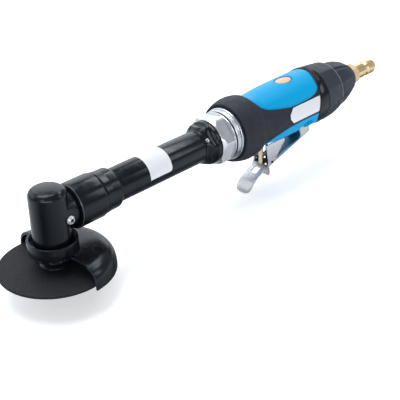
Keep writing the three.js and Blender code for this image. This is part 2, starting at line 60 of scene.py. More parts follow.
class Mat:
    """A principled material grown from noise: colour drift, roughness drift, fine bump, and what each finish adds."""

    def __init__(self, name, col, rough, metal=0.0, spec=0.5, coat=0.0, coat_rough=0.1):
        self.m = bpy.data.materials.new(name)
        self.m.use_nodes = True
        nt = self.nt = self.m.node_tree
        nt.nodes.clear()
        self.out = nt.nodes.new("ShaderNodeOutputMaterial")
        b = self.b = nt.nodes.new("ShaderNodeBsdfPrincipled")
        nt.links.new(b.outputs[0], self.out.inputs[0])
        b.inputs["Base Color"].default_value = col
        b.inputs["Roughness"].default_value = rough
        b.inputs["Metallic"].default_value = metal
        b.inputs["Specular IOR Level"].default_value = spec
        b.inputs["Coat Weight"].default_value = coat
        b.inputs["Coat Roughness"].default_value = coat_rough
        self.tc = nt.nodes.new("ShaderNodeTexCoord")
        self.col, self.rough = col, rough
        self.color_out = None
        self.normal = None

    def noise(self, scale, detail=3.0, stretch=None, rough=0.5, seedoff=(0, 0, 0)):
        nt = self.nt
        mp = nt.nodes.new("ShaderNodeMapping")
        mp.inputs["Location"].default_value = seedoff
        mp.inputs["Scale"].default_value = stretch or (1, 1, 1)
        nt.links.new(self.tc.outputs["Object"], mp.inputs[0])
        n = nt.nodes.new("ShaderNodeTexNoise")
        n.inputs["Scale"].default_value = scale
        n.inputs["Detail"].default_value = detail
        n.inputs["Roughness"].default_value = rough
        nt.links.new(mp.outputs[0], n.inputs["Vector"])
        return n.outputs["Fac"]

    def voronoi(self, scale, feature="F1", rnd=1.0):
        nt = self.nt
        n = nt.nodes.new("ShaderNodeTexVoronoi")
        n.feature = feature
        n.inputs["Scale"].default_value = scale
        n.inputs["Randomness"].default_value = rnd
        nt.links.new(self.tc.outputs["Object"], n.inputs["Vector"])
        return n.outputs["Distance"]

    def ramp(self, fac, lo, hi, a=0.0, b=1.0):
        nt = self.nt
        r = nt.nodes.new("ShaderNodeMapRange")
        r.inputs["From Min"].default_value = lo
        r.inputs["From Max"].default_value = hi
        r.inputs["To Min"].default_value = a
        r.inputs["To Max"].default_value = b
        nt.links.new(fac, r.inputs["Value"])
        return r.outputs[0]

    def tint(self, fac, other):
        """Mixes the colour so far towards another one by fac."""
        nt = self.nt
        mx = nt.nodes.new("ShaderNodeMix")
        mx.data_type = "RGBA"
        nt.links.new(fac, mx.inputs["Factor"])
        if self.color_out is None:
            mx.inputs["A"].default_value = self.col
        else:
            nt.links.new(self.color_out, mx.inputs["A"])
        mx.inputs["B"].default_value = other
        self.color_out = mx.outputs["Result"]
        nt.links.new(self.color_out, self.b.inputs["Base Color"])
        return self

    def roughness(self, fac):
        self.nt.links.new(fac, self.b.inputs["Roughness"])
        return self

    def bump(self, fac, strength, dist):
        nt = self.nt
        n = nt.nodes.new("ShaderNodeBump")
        n.inputs["Strength"].default_value = strength
        n.inputs["Distance"].default_value = dist
        nt.links.new(fac, n.inputs["Height"])
        if self.normal is not None:
            nt.links.new(self.normal, n.inputs["Normal"])
        self.normal = n.outputs[0]
        nt.links.new(self.normal, self.b.inputs["Normal"])
        return self

    def edge(self, other, lo=0.53, hi=0.6, amount=0.7):
        """Slightly worn, brighter convex edges."""
        g = self.nt.nodes.new("ShaderNodeNewGeometry")
        f = self.ramp(g.outputs["Pointiness"], lo, hi, 0.0, amount)
        return self.tint(f, other)


def gloss_black(name, rough=0.2, top=(16, 17, 21)):
    m = Mat(name, lin(*top), rough, 0.0, 0.36)
    m.b.inputs["Specular Tint"].default_value = (0.8, 0.89, 1.0, 1)
    m.tint(m.ramp(m.noise(26, 4), 0.35, 0.7, 0, 0.6), lin(20, 23, 29))
    m.edge(lin(60, 66, 78), 0.54, 0.64, 0.55)
    m.roughness(m.ramp(m.noise(210, 4, seedoff=(3, 1, 2)), 0.3, 0.75, rough - 0.03, rough + 0.09))
    m.bump(m.noise(520, 2, seedoff=(1, 5, 2)), 0.05, 0.0004)
    m.bump(m.noise(5200, 2), 0.04, 0.00008)
    return m.m


def turned_metal(name, col, rough, axis, dark, ring=2600, bump=0.12, metal=1.0):
    """Metal with fine turning marks round the given axis."""
    st = {"x": (1, 0.02, 0.02), "z": (0.02, 0.02, 1), "y": (0.02, 1, 0.02), "": (1, 1, 1)}[axis]
    m = Mat(name, col, rough, metal)
    m.tint(m.ramp(m.noise(34, 4), 0.35, 0.72, 0, 0.5), dark)
    m.roughness(m.ramp(m.noise(160, 5), 0.3, 0.75, rough * 0.75, rough * 1.35))
    m.bump(m.noise(ring, 2, st), bump, 0.00006)
    return m.m


M = {}
M["black"] = gloss_black("enamel_black", 0.19, (12, 14, 18))
M["black_tube"] = gloss_black("enamel_black_tube", 0.17, (11, 13, 17))
M["black_guard"] = gloss_black("enamel_black_guard", 0.21, (13, 15, 20))
M["chrome_x"] = turned_metal("plated_steel_turned", (0.78, 0.8, 0.83, 1), 0.3, "x", (0.64, 0.67, 0.71, 1))
M["chrome_nut"] = turned_metal("plated_steel_milled", (0.7, 0.73, 0.77, 1), 0.6, "x", (0.6, 0.63, 0.67, 1), 1500, 0.12, 0.75)
# darker finish for the two wrench flats: painted shade
M["chrome_flat_shaded"] = turned_metal("plated_steel_flat_painted_shade", (0.4, 0.42, 0.45, 1), 0.5, "", (0.32, 0.34, 0.37, 1), 1500, 0.2, 0.7)
M["chrome"] = turned_metal("plated_steel", (0.76, 0.78, 0.81, 1), 0.16, "", (0.6, 0.63, 0.68, 1), 900, 0.05)
M["steel"] = turned_metal("ground_steel", (0.46, 0.47, 0.5, 1), 0.3, "x", (0.32, 0.33, 0.36, 1))
M["satin_steel"] = turned_metal("satin_plated_steel", (0.76, 0.765, 0.775, 1), 0.32, "", (0.66, 0.67, 0.69, 1), 1300, 0.06, 0.72)
M["pad_steel"] = turned_metal("satin_plated_steel_worn", (0.6, 0.615, 0.64, 1), 0.36, "", (0.5, 0.515, 0.54, 1), 1300, 0.06, 0.72)
# dark teal plated steel for the lever's inner upper faces: painted shade with a painted reflection of the blue shell
M["shade_steel"] = turned_metal("plated_steel_painted_shade", (0.2, 0.24, 0.27, 1), 0.24, "", (0.12, 0.15, 0.17, 1), 1300, 0.06, 0.95)
M["dark_steel"] = turned_metal("blackened_steel", (0.045, 0.047, 0.055, 1), 0.34, "z", (0.025, 0.026, 0.03, 1), 1400, 0.1, 0.85)
M["dark_steel_x"] = turned_metal("blackened_steel_x", (0.13, 0.135, 0.15, 1), 0.32, "x", (0.06, 0.063, 0.07, 1), 1800, 0.2, 0.9)


def _brass():
    m = Mat("brass_turned", (0.9, 0.66, 0.37, 1), 0.24, 0.92)
    m.tint(m.ramp(m.noise(45, 2), 0.38, 0.7, 0, 0.5), (0.74, 0.5, 0.25, 1))
    m.edge((0.97, 0.84, 0.6, 1), 0.54, 0.66, 0.5)
    m.roughness(m.ramp(m.noise(90, 2), 0.3, 0.7, 0.2, 0.3))
    m.bump(m.noise(900, 2, (1, 0.02, 0.02)), 0.03, 0.00003)
    return m.m


def _enamel_painted_highlight():
    # a lighter enamel for thin lines along rims: painted highlight
    m = Mat("enamel_black_painted_highlight", lin(70, 75, 84), 0.3, 0.1, 0.5)
    m.tint(m.ramp(m.noise(70, 3), 0.36, 0.7, 0, 0.8), lin(36, 39, 46))
    m.roughness(m.ramp(m.noise(260, 4), 0.3, 0.7, 0.24, 0.4))
    m.bump(m.noise(1500, 2), 0.06, 0.00008)
    return m.m


def _blue():
    m = Mat("moulded_blue", lin(0, 158, 212), 0.38, 0.0, 0.24)
    m.tint(m.ramp(m.noise(18, 3), 0.35, 0.7, 0, 0.5), lin(0, 148, 204))
    m.b.inputs["Specular Tint"].default_value = (0.3, 0.8, 1.0, 1)
    m.edge(lin(60, 190, 235), 0.53, 0.62, 0.35)
    m.roughness(m.ramp(m.noise(300, 4), 0.3, 0.7, 0.32, 0.44))
    m.bump(m.noise(1500, 3), 0.1, 0.0001)
    m.bump(m.noise(4200, 2), 0.12, 0.00005)
    return m.m


def _rubber():
    m = Mat("soft_rubber", lin(38, 41, 50), 0.58, 0.0, 0.32)
    m.tint(m.ramp(m.noise(22, 4), 0.35, 0.7, 0, 0.7), lin(31, 33, 41))
    m.tint(m.ramp(m.noise(1300, 3), 0.55, 0.75, 0, 0.35), lin(50, 52, 60))
    m.roughness(m.ramp(m.noise(180, 4), 0.3, 0.7, 0.54, 0.72))
    m.bump(m.noise(1900, 3), 0.3, 0.00012)
    m.bump(m.voronoi(2600), 0.12, 0.0001)
    return m.m


def _band():
    m = Mat("gloss_moulding", lin(20, 22, 27), 0.2, 0.0, 0.3)
    m.tint(m.ramp(m.noise(30, 3), 0.4, 0.7, 0, 0.5), lin(27, 28, 32))
    m.roughness(m.ramp(m.noise(260, 4), 0.3, 0.7, 0.12, 0.24))
    m.bump(m.noise(700, 2), 0.05, 0.0002)
    return m.m


def _slate():
    m = Mat("slate_moulding", lin(47, 52, 62), 0.42, 0.0, 0.35)
    m.tint(m.ramp(m.noise(26, 4), 0.36, 0.7, 0, 0.6), lin(39, 43, 53))
    m.edge(lin(96, 101, 110), 0.53, 0.61, 0.45)
    m.roughness(m.ramp(m.noise(260, 4), 0.3, 0.7, 0.4, 0.56))
    m.bump(m.noise(2100, 3), 0.22, 0.0001)
    return m.m


def _slate_painted_highlight():
    # a lighter slate for the thin line on the deflector's rear rim: painted highlight
    m = Mat("slate_moulding_painted_highlight", lin(112, 120, 132), 0.36, 0.0, 0.4)
    m.tint(m.ramp(m.noise(60, 3), 0.36, 0.7, 0, 0.6), lin(84, 91, 102))
    m.roughness(m.ramp(m.noise(260, 4), 0.3, 0.7, 0.3, 0.46))
    m.bump(m.noise(2100, 3), 0.15, 0.0001)
    return m.m


def _label():
    m = Mat("film_label", lin(226, 228, 233), 0.42, 0.0, 0.45)
    m.tint(m.ramp(m.noise(90, 4), 0.4, 0.7, 0, 0.5), lin(214, 217, 224))
    m.tint(m.ramp(m.noise(2400, 2), 0.5, 0.8, 0, 0.25), lin(200, 203, 210))
    m.roughness(m.ramp(m.noise(300, 3), 0.3, 0.7, 0.36, 0.5))
    m.bump(m.noise(900, 2), 0.08, 0.0001)
    return m.m


def _abrasive():
    m = Mat("bonded_abrasive", lin(30, 32, 38), 0.8, 0.0, 0.3)
    m.tint(m.ramp(m.noise(2300, 3), 0.5, 0.62, 0, 0.85), lin(18, 19, 24))
    m.tint(m.ramp(m.voronoi(1500), 0.0, 0.28, 0.6, 0.0), lin(66, 68, 76))
    m.tint(m.ramp(m.noise(70, 4), 0.4, 0.7, 0, 0.5), lin(24, 26, 31))
    m.roughness(m.ramp(m.noise(1500, 3), 0.35, 0.65, 0.55, 0.92))
    # glass-fibre net just under the surface
    nt = m.nt
    for ax in (0, 1):
        mp = nt.nodes.new("ShaderNodeMapping")
        mp.inputs["Rotation"].default_value = (0, 0, math.radians(17 + 90 * ax))
        nt.links.new(m.tc.outputs["Object"], mp.inputs[0])
        w = nt.nodes.new("ShaderNodeTexWave")
        w.inputs["Scale"].default_value = 118
        w.inputs["Distortion"].default_value = 0.6
        w.inputs["Detail"].default_value = 2
        w.inputs["Detail Scale"].default_value = 2
        nt.links.new(mp.outputs[0], w.inputs["Vector"])
        m.bump(w.outputs["Fac"], 0.16, 0.00015)
    m.bump(m.noise(2600, 3), 0.75, 0.00022)
    return m.m


def _badge():
    m = Mat("badge_plate_metal", (0.74, 0.4, 0.2, 1), 0.3, 0.7, 0.5, 0.3, 0.08)
    m.tint(m.ramp(m.noise(120, 3), 0.4, 0.7, 0, 0.5), (0.62, 0.31, 0.14, 1))
    m.roughness(m.ramp(m.noise(420, 3), 0.3, 0.7, 0.2, 0.34))
    m.bump(m.noise(1500, 2, (0.2, 4, 1)), 0.05, 0.00006)
    return m.m


def _cream():
    m = Mat("pale_drawn_rod", lin(232, 214, 184), 0.36, 0.1, 0.5)
    m.tint(m.ramp(m.noise(400, 3), 0.4, 0.7, 0, 0.6), lin(216, 194, 158))
    m.roughness(m.ramp(m.noise(500, 3), 0.3, 0.7, 0.3, 0.44))
    m.bump(m.noise(2600, 2, (0.02, 0.02, 1)), 0.1, 0.00005)
    return m.m


def _felt():
    m = Mat("porous_pad", lin(150, 146, 132), 0.95)
    m.tint(m.ramp(m.noise(1400, 3), 0.4, 0.6, 0, 0.8), lin(110, 106, 96))
    m.bump(m.noise(1800, 3), 0.6, 0.0004)
    return m.m


def _vane():
    m = Mat("laminate", lin(120, 92, 60), 0.7)
    m.tint(m.ramp(m.noise(600, 3, (1, 6, 6)), 0.4, 0.65, 0, 0.7), lin(88, 64, 40))
    m.bump(m.noise(1500, 3), 0.2, 0.0001)
    return m.m


def _black_plastic():
    m = Mat("latch_black", lin(22, 22, 25), 0.34, 0.2, 0.5)
    m.tint(m.ramp(m.noise(300, 3), 0.4, 0.7, 0, 0.6), lin(34, 34, 38))
    m.roughness(m.ramp(m.noise(500, 3), 0.3, 0.7, 0.28, 0.44))
    m.bump(m.noise(2600, 2), 0.12, 0.00006)
    return m.m


M["brass"], M["blue"], M["rubber"], M["band"], M["slate"] = _brass(), _blue(), _rubber(), _band(), _slate()
M["label"], M["abrasive"], M["badge"], M["cream"], M["felt"] = _label(), _abrasive(), _badge(), _cream(), _felt()
M["vane"], M["latch"], M["slate_highlight_line"], M["enamel_highlight_line"] = _vane(), _black_plastic(), _slate_painted_highlight(), _enamel_painted_highlight()


# ------------------------------------------------------------------ mesh helpers
def to_world(v):
    return (np.asarray(v, float) + SHIFT) / 1000.0


def new_mesh(name, verts, faces, mats, smooth=34, mat_ids=None, weld=1e-6):
    me = bpy.data.meshes.new(name)
    bm = bmesh.new()
    bv = [bm.verts.new(tuple(p)) for p in to_world(verts)]
    for k, f in enumerate(faces):
        try:
            nf = bm.faces.new([bv[i] for i in f])
            nf.smooth = True
            if mat_ids is not None:
                nf.material_index = mat_ids[k]
        except ValueError:
            pass
    if weld:
        bmesh.ops.remove_doubles(bm, verts=bm.verts, dist=weld)
    bmesh.ops.recalc_face_normals(bm, faces=bm.faces)
    bm.to_mesh(me)
    bm.free()
    ob = bpy.data.objects.new(name, me)
    COL.objects.link(ob)
    for mt in (mats if isinstance(mats, (list, tuple)) else [mats]):
        me.materials.append(M[mt] if isinstance(mt, str) else mt)
    if smooth:
        me.set_sharp_from_angle(angle=math.radians(smooth))
    return ob


def fillet(pts, closed=True, seg=5):
    """Rounds the corners of a polyline: each point is (u, v) or (u, v, radius)."""
    out, n = [], len(pts)
    for i, p in enumerate(pts):
        r = p[2] if len(p) > 2 else 0.0
        if r <= 0 or (not closed and i in (0, n - 1)):
            out.append((p[0], p[1]))
            continue
        a, b, c = (np.array(pts[i - 1][:2], float), np.array(p[:2], float), np.array(pts[(i + 1) % n][:2], float))
        la, lc = np.linalg.norm(a - b), np.linalg.norm(c - b)
        u, v = (a - b) / la, (c - b) / lc
        ang = math.acos(max(-1, min(1, float(u @ v))))
        if ang > 3.05 or ang < 0.05:
            out.append((p[0], p[1]))
            continue
        t = min(r / math.tan(ang / 2), 0.46 * la, 0.46 * lc)
        rr = t * math.tan(ang / 2)
        cen = b + (u + v) / np.linalg.norm(u + v) * rr / math.sin(ang / 2)
        p0, p1 = b + u * t, b + v * t
        a0 = math.atan2(p0[1] - cen[1], p0[0] - cen[0])
        a1 = math.atan2(p1[1] - cen[1], p1[0] - cen[0])
        d = (a1 - a0 + PI) % (2 * PI) - PI
        for k in range(seg + 1):
            q = a0 + d * k / seg
            out.append((cen[0] + rr * math.cos(q), cen[1] + rr * math.sin(q)))
    return out


def spline(pts, per=6, closed=False):
    """Centripetal Catmull-Rom through 2-D points."""
    P = [np.array(p[:2], float) for p in pts]
    n = len(P)
    out = []
    rng = range(n if closed else n - 1)
    for i in rng:
        p1, p2 = P[i], P[(i + 1) % n]
        p0 = P[i - 1] if (closed or i > 0) else 2 * p1 - p2
        p3 = P[(i + 2) % n] if (closed or i + 2 < n) else 2 * p2 - p1
        t0 = 0.0
        t1 = t0 + max(np.linalg.norm(p1 - p0), 1e-6) ** 0.5
        t2 = t1 + max(np.linalg.norm(p2 - p1), 1e-6) ** 0.5
        t3 = t2 + max(np.linalg.norm(p3 - p2), 1e-6) ** 0.5
        for k in range(per):
            t = t1 + (t2 - t1) * k / per
            A1 = (t1 - t) / (t1 - t0) * p0 + (t - t0) / (t1 - t0) * p1
            A2 = (t2 - t) / (t2 - t1) * p1 + (t - t1) / (t2 - t1) * p2
            A3 = (t3 - t) / (t3 - t2) * p2 + (t - t2) / (t3 - t2) * p3
            B1 = (t2 - t) / (t2 - t0) * A1 + (t - t0) / (t2 - t0) * A2
            B2 = (t3 - t) / (t3 - t1) * A2 + (t - t1) / (t3 - t1) * A3
            out.append(tuple((t2 - t) / (t2 - t1) * B1 + (t - t1) / (t2 - t1) * B2))
    if not closed:
        out.append(tuple(P[-1]))
    return out


def densify(pts, step, closed=True):
    out, n = [], len(pts)
    for i in range(n if closed else n - 1):
        a, b = np.array(pts[i][:2], float), np.array(pts[(i + 1) % n][:2], float)
        k = max(1, int(np.linalg.norm(b - a) / step))
        for j in range(k):
            out.append(tuple(a + (b - a) * j / k))
    if not closed:
        out.append(tuple(pts[-1][:2]))
    return out


def ax_point(axis, h, r, t, c=(0.0, 0.0)):
    """A point at height h along an axis and radius r, angle t."""
    if axis == "x":
        return np.stack([h, c[0] + r * np.cos(t), c[1] + r * np.sin(t)], -1)
    if axis == "z":
        return np.stack([c[0] + r * np.cos(t), c[1] + r * np.sin(t), h], -1)
    return np.stack([c[0] + r * np.cos(t), h, c[1] - r * np.sin(t)], -1)


def lathe(name, axis, prof, mats, n=128, c=(0.0, 0.0), shape=None, closed=True, smooth=34, a0=0.0, a1=None, ids=None):
    """Revolves a closed (h, r) profile. shape(h, r, t) may change the radius point by point."""
    full = a1 is None
    t = np.linspace(a0, a0 + 2 * PI, n, endpoint=False) if full else np.linspace(a0, a1, n)
    P = np.array([p[:2] for p in prof], float)
    H = np.repeat(P[:, :1], len(t), 1)
    R = np.repeat(P[:, 1:2], len(t), 1)
    T = np.repeat(t[None, :], len(P), 0)
    if shape is not None:
        R = shape(H, R, T)
        if isinstance(R, tuple):
            H, R = R
    V = ax_point(axis, H, R, T, c).reshape(-1, 3)
    faces, mid = [], []
    m, k = len(P), len(t)
    for i in range(m if closed else m - 1):
        i2 = (i + 1) % m
        if P[i, 1] == 0 and P[i2, 1] == 0:
            continue
        for j in range(k if full else k - 1):
            j2 = (j + 1) % k
            faces.append((i * k + j, i2 * k + j, i2 * k + j2, i * k + j2))
            mid.append(ids[i] if ids else 0)
    if not full:
        faces.append(tuple(i * k for i in range(m)))
        faces.append(tuple(i * k + k - 1 for i in reversed(range(m))))
        mid += [0, 0]
    # welding turns rings of radius zero into a point
    return new_mesh(name, V, faces, mats, smooth, mid)


def prism(name, plane, pts, a, b, mats="steel", holes=(), smooth=34):
    """Outline in a plane ('xz', 'xy' or 'yz') extruded between a and b on the third axis."""
    pts = [tuple(p[:2]) for p in pts]
    P2 = [Vector(p) for p in pts]
    loops = [list(range(len(P2)))]
    for h in holes:
        loops.append(list(range(len(P2), len(P2) + len(h))))
        P2 += [Vector(q[:2]) for q in h]
    if holes:
        v2, _, f2, _, _, _ = delaunay_2d_cdt(P2, [], loops, 3, 1e-7)
        faces2 = [list(f) for f in f2]
    else:
        v2, faces2 = P2, [list(range(len(P2)))]
    put = {"xz": lambda u, w, d: (u, d, w), "xy": lambda u, w, d: (u, w, d), "yz": lambda u, w, d: (d, u, w)}[plane]
    n = len(v2)
    V = [put(v[0], v[1], a) for v in v2] + [put(v[0], v[1], b) for v in v2]
    F = [tuple(f) for f in faces2] + [tuple(i + n for i in reversed(f)) for f in faces2]
    for lp in loops:
        for i in range(len(lp)):
            p, q = lp[i], lp[(i + 1) % len(lp)]
            F.append((p, q, q + n, p + n))
    return new_mesh(name, V, F, mats, smooth)


def apply_mods(ob):
    dg = bpy.context.evaluated_depsgraph_get()
    me = bpy.data.meshes.new_from_object(ob.evaluated_get(dg), depsgraph=dg)
    old = ob.data
    ob.modifiers.clear()
    ob.data = me
    bpy.data.meshes.remove(old)
    return ob


def boolean(ob, cutters, op="DIFFERENCE", solver="EXACT", smooth=34):
    for cut in cutters:
        md = ob.modifiers.new("b", "BOOLEAN")
        md.operation = op
        md.solver = solver
        md.object = cut
    bpy.context.view_layer.update()
    apply_mods(ob)
    for cut in cutters:
        me = cut.data
        bpy.data.objects.remove(cut)
        bpy.data.meshes.remove(me)
    for p in ob.data.polygons:
        p.use_smooth = True
    if smooth:
        ob.data.set_sharp_from_angle(angle=math.radians(smooth))
    return ob


def bevel(ob, width, seg=2, angle=32, smooth=34):
    md = ob.modifiers.new("v", "BEVEL")
    md.width = width / 1000.0
    md.segments = seg
    md.limit_method = "ANGLE"
    md.angle_limit = math.radians(angle)
    md.use_clamp_overlap = True
    bpy.context.view_layer.update()
    apply_mods(ob)
    for p in ob.data.polygons:
        p.use_smooth = True
    ob.data.set_sharp_from_angle(angle=math.radians(smooth))
    return ob


def join(name, obs):
    """One mesh out of several closed shells; material slots are merged by name."""
    me = bpy.data.meshes.new(name)
    bm = bmesh.new()
    mats = []
    for o in obs:
        base = len(bm.faces)
        remap = []
        for mt in o.data.materials:
            if mt not in mats:
                mats.append(mt)
            remap.append(mats.index(mt))
        bm.from_mesh(o.data)
        bm.faces.ensure_lookup_table()
        for f in bm.faces[base:]:
            f.material_index = remap[f.material_index] if remap else 0
    bm.to_mesh(me)
    bm.free()
    for mt in mats:
        me.materials.append(mt)
    ob = bpy.data.objects.new(name, me)
    COL.objects.link(ob)
    for o in obs:
        d = o.data
        bpy.data.objects.remove(o)
        bpy.data.meshes.remove(d)
    return ob


def move(ob, rot=None, at=(0, 0, 0), axis_point=(0, 0, 0)):
    """Turns mesh points about a point of the drawing frame, then shifts them (mm)."""
    c = Vector(to_world(axis_point))
    mtx = Matrix.Translation(Vector(at) / 1000.0) @ Matrix.Translation(c) @ (rot or Matrix.Identity(4)) @ Matrix.Translation(-c)
    ob.data.transform(mtx)
    return ob


def place(ob, body, nodes=()):
    if nodes:
        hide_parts(*([nodes] if isinstance(nodes, str) else nodes))
    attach(ob, body)
    return ob


def hexr(af, t, rot=0.0, n=6):
    w = 2 * PI / n
    q = (t - rot + w / 2) % w - w / 2
    return af / 2 / np.cos(q)


def smin(a, b, k):
    h = np.clip(0.5 + 0.5 * (b - a) / k, 0, 1)
    return b + (a - b) * h - k * h * (1 - h)


def tint_ring(ob, mat, ranges):
    """Another material on the faces that lie between two lengths and outside a radius: used for painted highlight lines
    and a painted shade ring.
    """
    ob.data.materials.append(M[mat])
    k = len(ob.data.materials) - 1
    for f in ob.data.polygons:
        x = f.center.x * 1000 - SHIFT[0]
        r = math.hypot(f.center.y * 1000, f.center.z * 1000 - SHIFT[2])
        if any(a < x < b and r > q for a, b, q in ranges):
            f.material_index = k


# ------------------------------------------------------------------ disc, flanges, screw
place(lathe("disc", "z", fillet([(-37.6, 5.0, .15), (-37.6, 37.5, .35), (-35.8, 37.5, .35), (-35.8, 5.0, .15)]), "abrasive", 200), "spindle_set", "cutting_disc")
place(lathe("flange_inner", "z", fillet([(-37.2, 3.9), (-37.2, 4.7, .2), (-35.5, 4.7), (-35.5, 10.0, .25), (-33.9, 10.0, .5), (-32.6, 8.2, .8), (-32.4, 6.6, .3), (-25.7, 6.6, .3), (-25.7, 3.9)]), "dark_steel", 120), "spindle_set", "inner_flange")
place(lathe("flange_outer", "z", fillet([(-37.9, 3.4), (-37.9, 10.0, .2), (-39.2, 10.0, .3), (-39.9, 9.2, .3), (-39.9, 3.4, .1)]), "dark_steel", 120), "spindle_set", "outer_flange")


def _socket(H, R, T):
    hx = hexr(4.2, T)
    return np.where((np.abs(R - 2.1) < 1e-6), hx, R)


place(lathe("screw_disc", "z", fillet([(-26.5, 0), (-26.5, 2.5, .2), (-40.2, 2.5), (-40.2, 5.0, .25), (-42.2, 5.0, .6), (-43.2, 4.3, .4)], closed=False) + [(-43.2, 2.6), (-43.2, 2.1), (-43.0, 2.1), (-40.9, 2.1), (-40.7, 0)], "dark_steel", 96, shape=_socket, closed=False), "spindle_set", "disc_screw")

# ------------------------------------------------------------------ head
_dome = [(19.6, 0), (19.45, 6.6), (19.1, 8.3)] + [(14.4 + 4.9 * math.sin(a), 7.75 + 4.65 * math.cos(a)) for a in np.linspace(1.28, 0, 12)]
_body = _dome + fillet([(-17.0, 12.55), (-18.2, 12.7, .4), (-18.5, 13.4, .3), (-25.0, 13.4, .4), (-25.0, 10.4, .2), (8.6, 10.4), (8.6, 7.7), (16.6, 7.7), (16.6, 0)], closed=False)
head = lathe("head_body", "z", _body, "black", 144, closed=False)
neck = lathe("t_neck", "x", fillet([(3.0, 0), (3.0, 12.5), (14.7, 12.5, .3), (14.7, 11.9), (35.2, 11.9, .3), (35.2, 0)], closed=False), "black", 144, closed=False)
boolean(head, [neck], "UNION")
bore = lathe("t_bore", "x", [(6.0, 0), (6.0, 7.2), (10.9, 7.2), (10.9, 8.7), (37, 8.7), (37, 0)], "black", 64, closed=False)
cyl = lathe("t_bore2", "z", [(-24.0, 0), (-24.0, 10.3), (8.5, 10.3), (8.5, 0)], "black", 96, closed=False)
spot = lathe("t_spot", "y", [(-16, 0), (-16, 3.35), (-12.05, 3.35), (-12.05, 1.75), (-9, 1.75), (-9, 0)], "black", 48, c=(6.6, -1.2), closed=False)
boolean(head, [bore, cyl, spot])
place(head, "housing", "head_housing")
nip = lathe("nipple", "y", fillet([(-9.3, 0), (-9.3, 1.3), (-12.3, 1.3), (-12.3, 2.95, .25), (-13.3, 2.95, .35), (-13.6, 2.4, .2), (-14.1, 2.1, .4), (-14.5, 1.55, .2), (-14.3, 1.15, .15), (-13.4, 1.0, .1), (-13.0, 0)], closed=False), ["satin_steel", "dark_steel"], 64, c=(6.6, -1.2), closed=False)
# faces inside the recess of the nipple's head take the dark steel: painted shade in the hole
for f in nip.data.polygons:
    if math.hypot(f.center.x * 1000 - SHIFT[0] - 6.6, f.center.z * 1000 - SHIFT[2] + 1.2) < 1.12:
        f.material_index = 1
place(nip, "housing", "grease_nipple")
place(lathe("retainer", "z", fillet([(-25.4, 7.0, .2), (-25.4, 10.1, .3), (-22.9, 10.1, .1), (-22.9, 7.0, .1)]), "dark_steel", 96), "housing", "bearing_retainer")

# ------------------------------------------------------------------ guard
SCREW = math.radians(-124)
collar = lathe("guard_ring", "z", fillet([(-24.2, 13.7, .2), (-24.2, 16.6, .6), (-15.8, 16.6, .45), (-15.8, 15.2, .35), (-18.2, 13.7, .3)]), "black_guard", 160)
h = lathe("t_h", "z", [(12, 0), (12, 2.0), (20, 2.0), (20, 0)], "black_guard", 40, closed=False)
h.data.transform(Matrix.Translation(Vector(to_world((0, 0, -20.4)))) @ Matrix.Rotation(SCREW, 4, "Z") @ Matrix.Rotation(PI / 2, 4, "Y") @ Matrix.Translation(-Vector(to_world((0, 0, 0)))))
boolean(collar, [h])
place(collar, "guard", "guard_collar")


def _hexs(H, R, T):
    return np.where(np.abs(R - 0.85) < 1e-6, hexr(1.7, T), R)


scr = lathe("clamp_screw", "z", fillet([(13.8, 0), (13.8, 1.7, .1), (16.0, 1.7, .3)], closed=False) + [(16.05, 1.2), (16.05, 0.85), (15.0, 0.85), (14.8, 0)], "dark_steel", 72, closed=False, shape=_hexs)
scr.data.transform(Matrix.Translation(Vector(to_world((0, 0, -20.4)))) @ Matrix.Rotation(SCREW, 4, "Z") @ Matrix.Rotation(PI / 2, 4, "Y") @ Matrix.Translation(-Vector(to_world((0, 0, 0)))))
place(scr, "guard", "guard_clamp_screw")

_go = [(-24.5, 13.8), (-24.5, 17.5), (-24.5, 22)] + spline([(-24.6, 27), (-25.1, 31), (-26.25, 34), (-28.2, 36.55), (-30.9, 38.3), (-34.0, 39.2), (-37.4, 39.6), (-39.1, 39.6)], 6)
_gi = spline([(-39.1, 38.25), (-37.4, 38.2), (-34.3, 37.8), (-31.6, 36.95), (-29.3, 35.4), (-27.8, 33.2), (-26.7, 30.6), (-26.1, 26.9)], 6) + [(-26.0, 22), (-26.0, 17.4), (-26.0, 13.8)]
_gp = _go[:-1] + fillet([(-39.1, 39.6), (-39.4, 39.6, .35), (-39.4, 38.25, .35), (-39.1, 38.25)], closed=False) + _gi[1:]
guard = lathe("guard_dome", "z", _gp, "black_guard", 240)
fr = prism("t_f", "xy", [(-60, -60), (1.6, -60), (1.6, 60), (-60, 60)], -60, 0)
kp = lathe("t_k", "z", [(-61, 0), (-61, 16.3), (1, 16.3), (1, 0)], "steel", 128, closed=False)
boolean(fr, [kp])
boolean(guard, [fr])
bevel(guard, 0.35, 2, 50)
place(guard, "guard", "guard_shell")

# ------------------------------------------------------------------ sleeve, lock ring, tube, label
place(lathe("sleeve", "x", fillet([(15.0, 12.2, .2), (15.0, 14.7, .5), (15.9, 15.4, .6), (35.3, 15.4, .4), (35.3, 12.2, .2)]), "black_tube", 160), "housing", "head_sleeve")
# painted highlight lines on the sleeve's front rim and on its rear seam
tint_ring(bpy.data.objects["sleeve"], "enamel_highlight_line", [(15.25, 15.75, 14.85), (34.95, 35.4, 15.05)])
place(lathe("ring_lock", "x", fillet([(35.6, 12.1), (35.6, 14.75, .35), (37.4, 14.75, .4), (42.5, 14.15, 1.5), (48.7, 14.05, .5), (49.6, 13.5, .5), (51.0, 12.4, .2), (51.0, 12.1)]), "black_tube", 160), "housing", "lock_ring")
place(lathe("tube", "x", fillet([(35.6, 9.5), (35.6, 11.8, .3), (127.8, 11.8, .3), (127.8, 9.5)]), "black_tube", 160), "housing", "extension_tube")


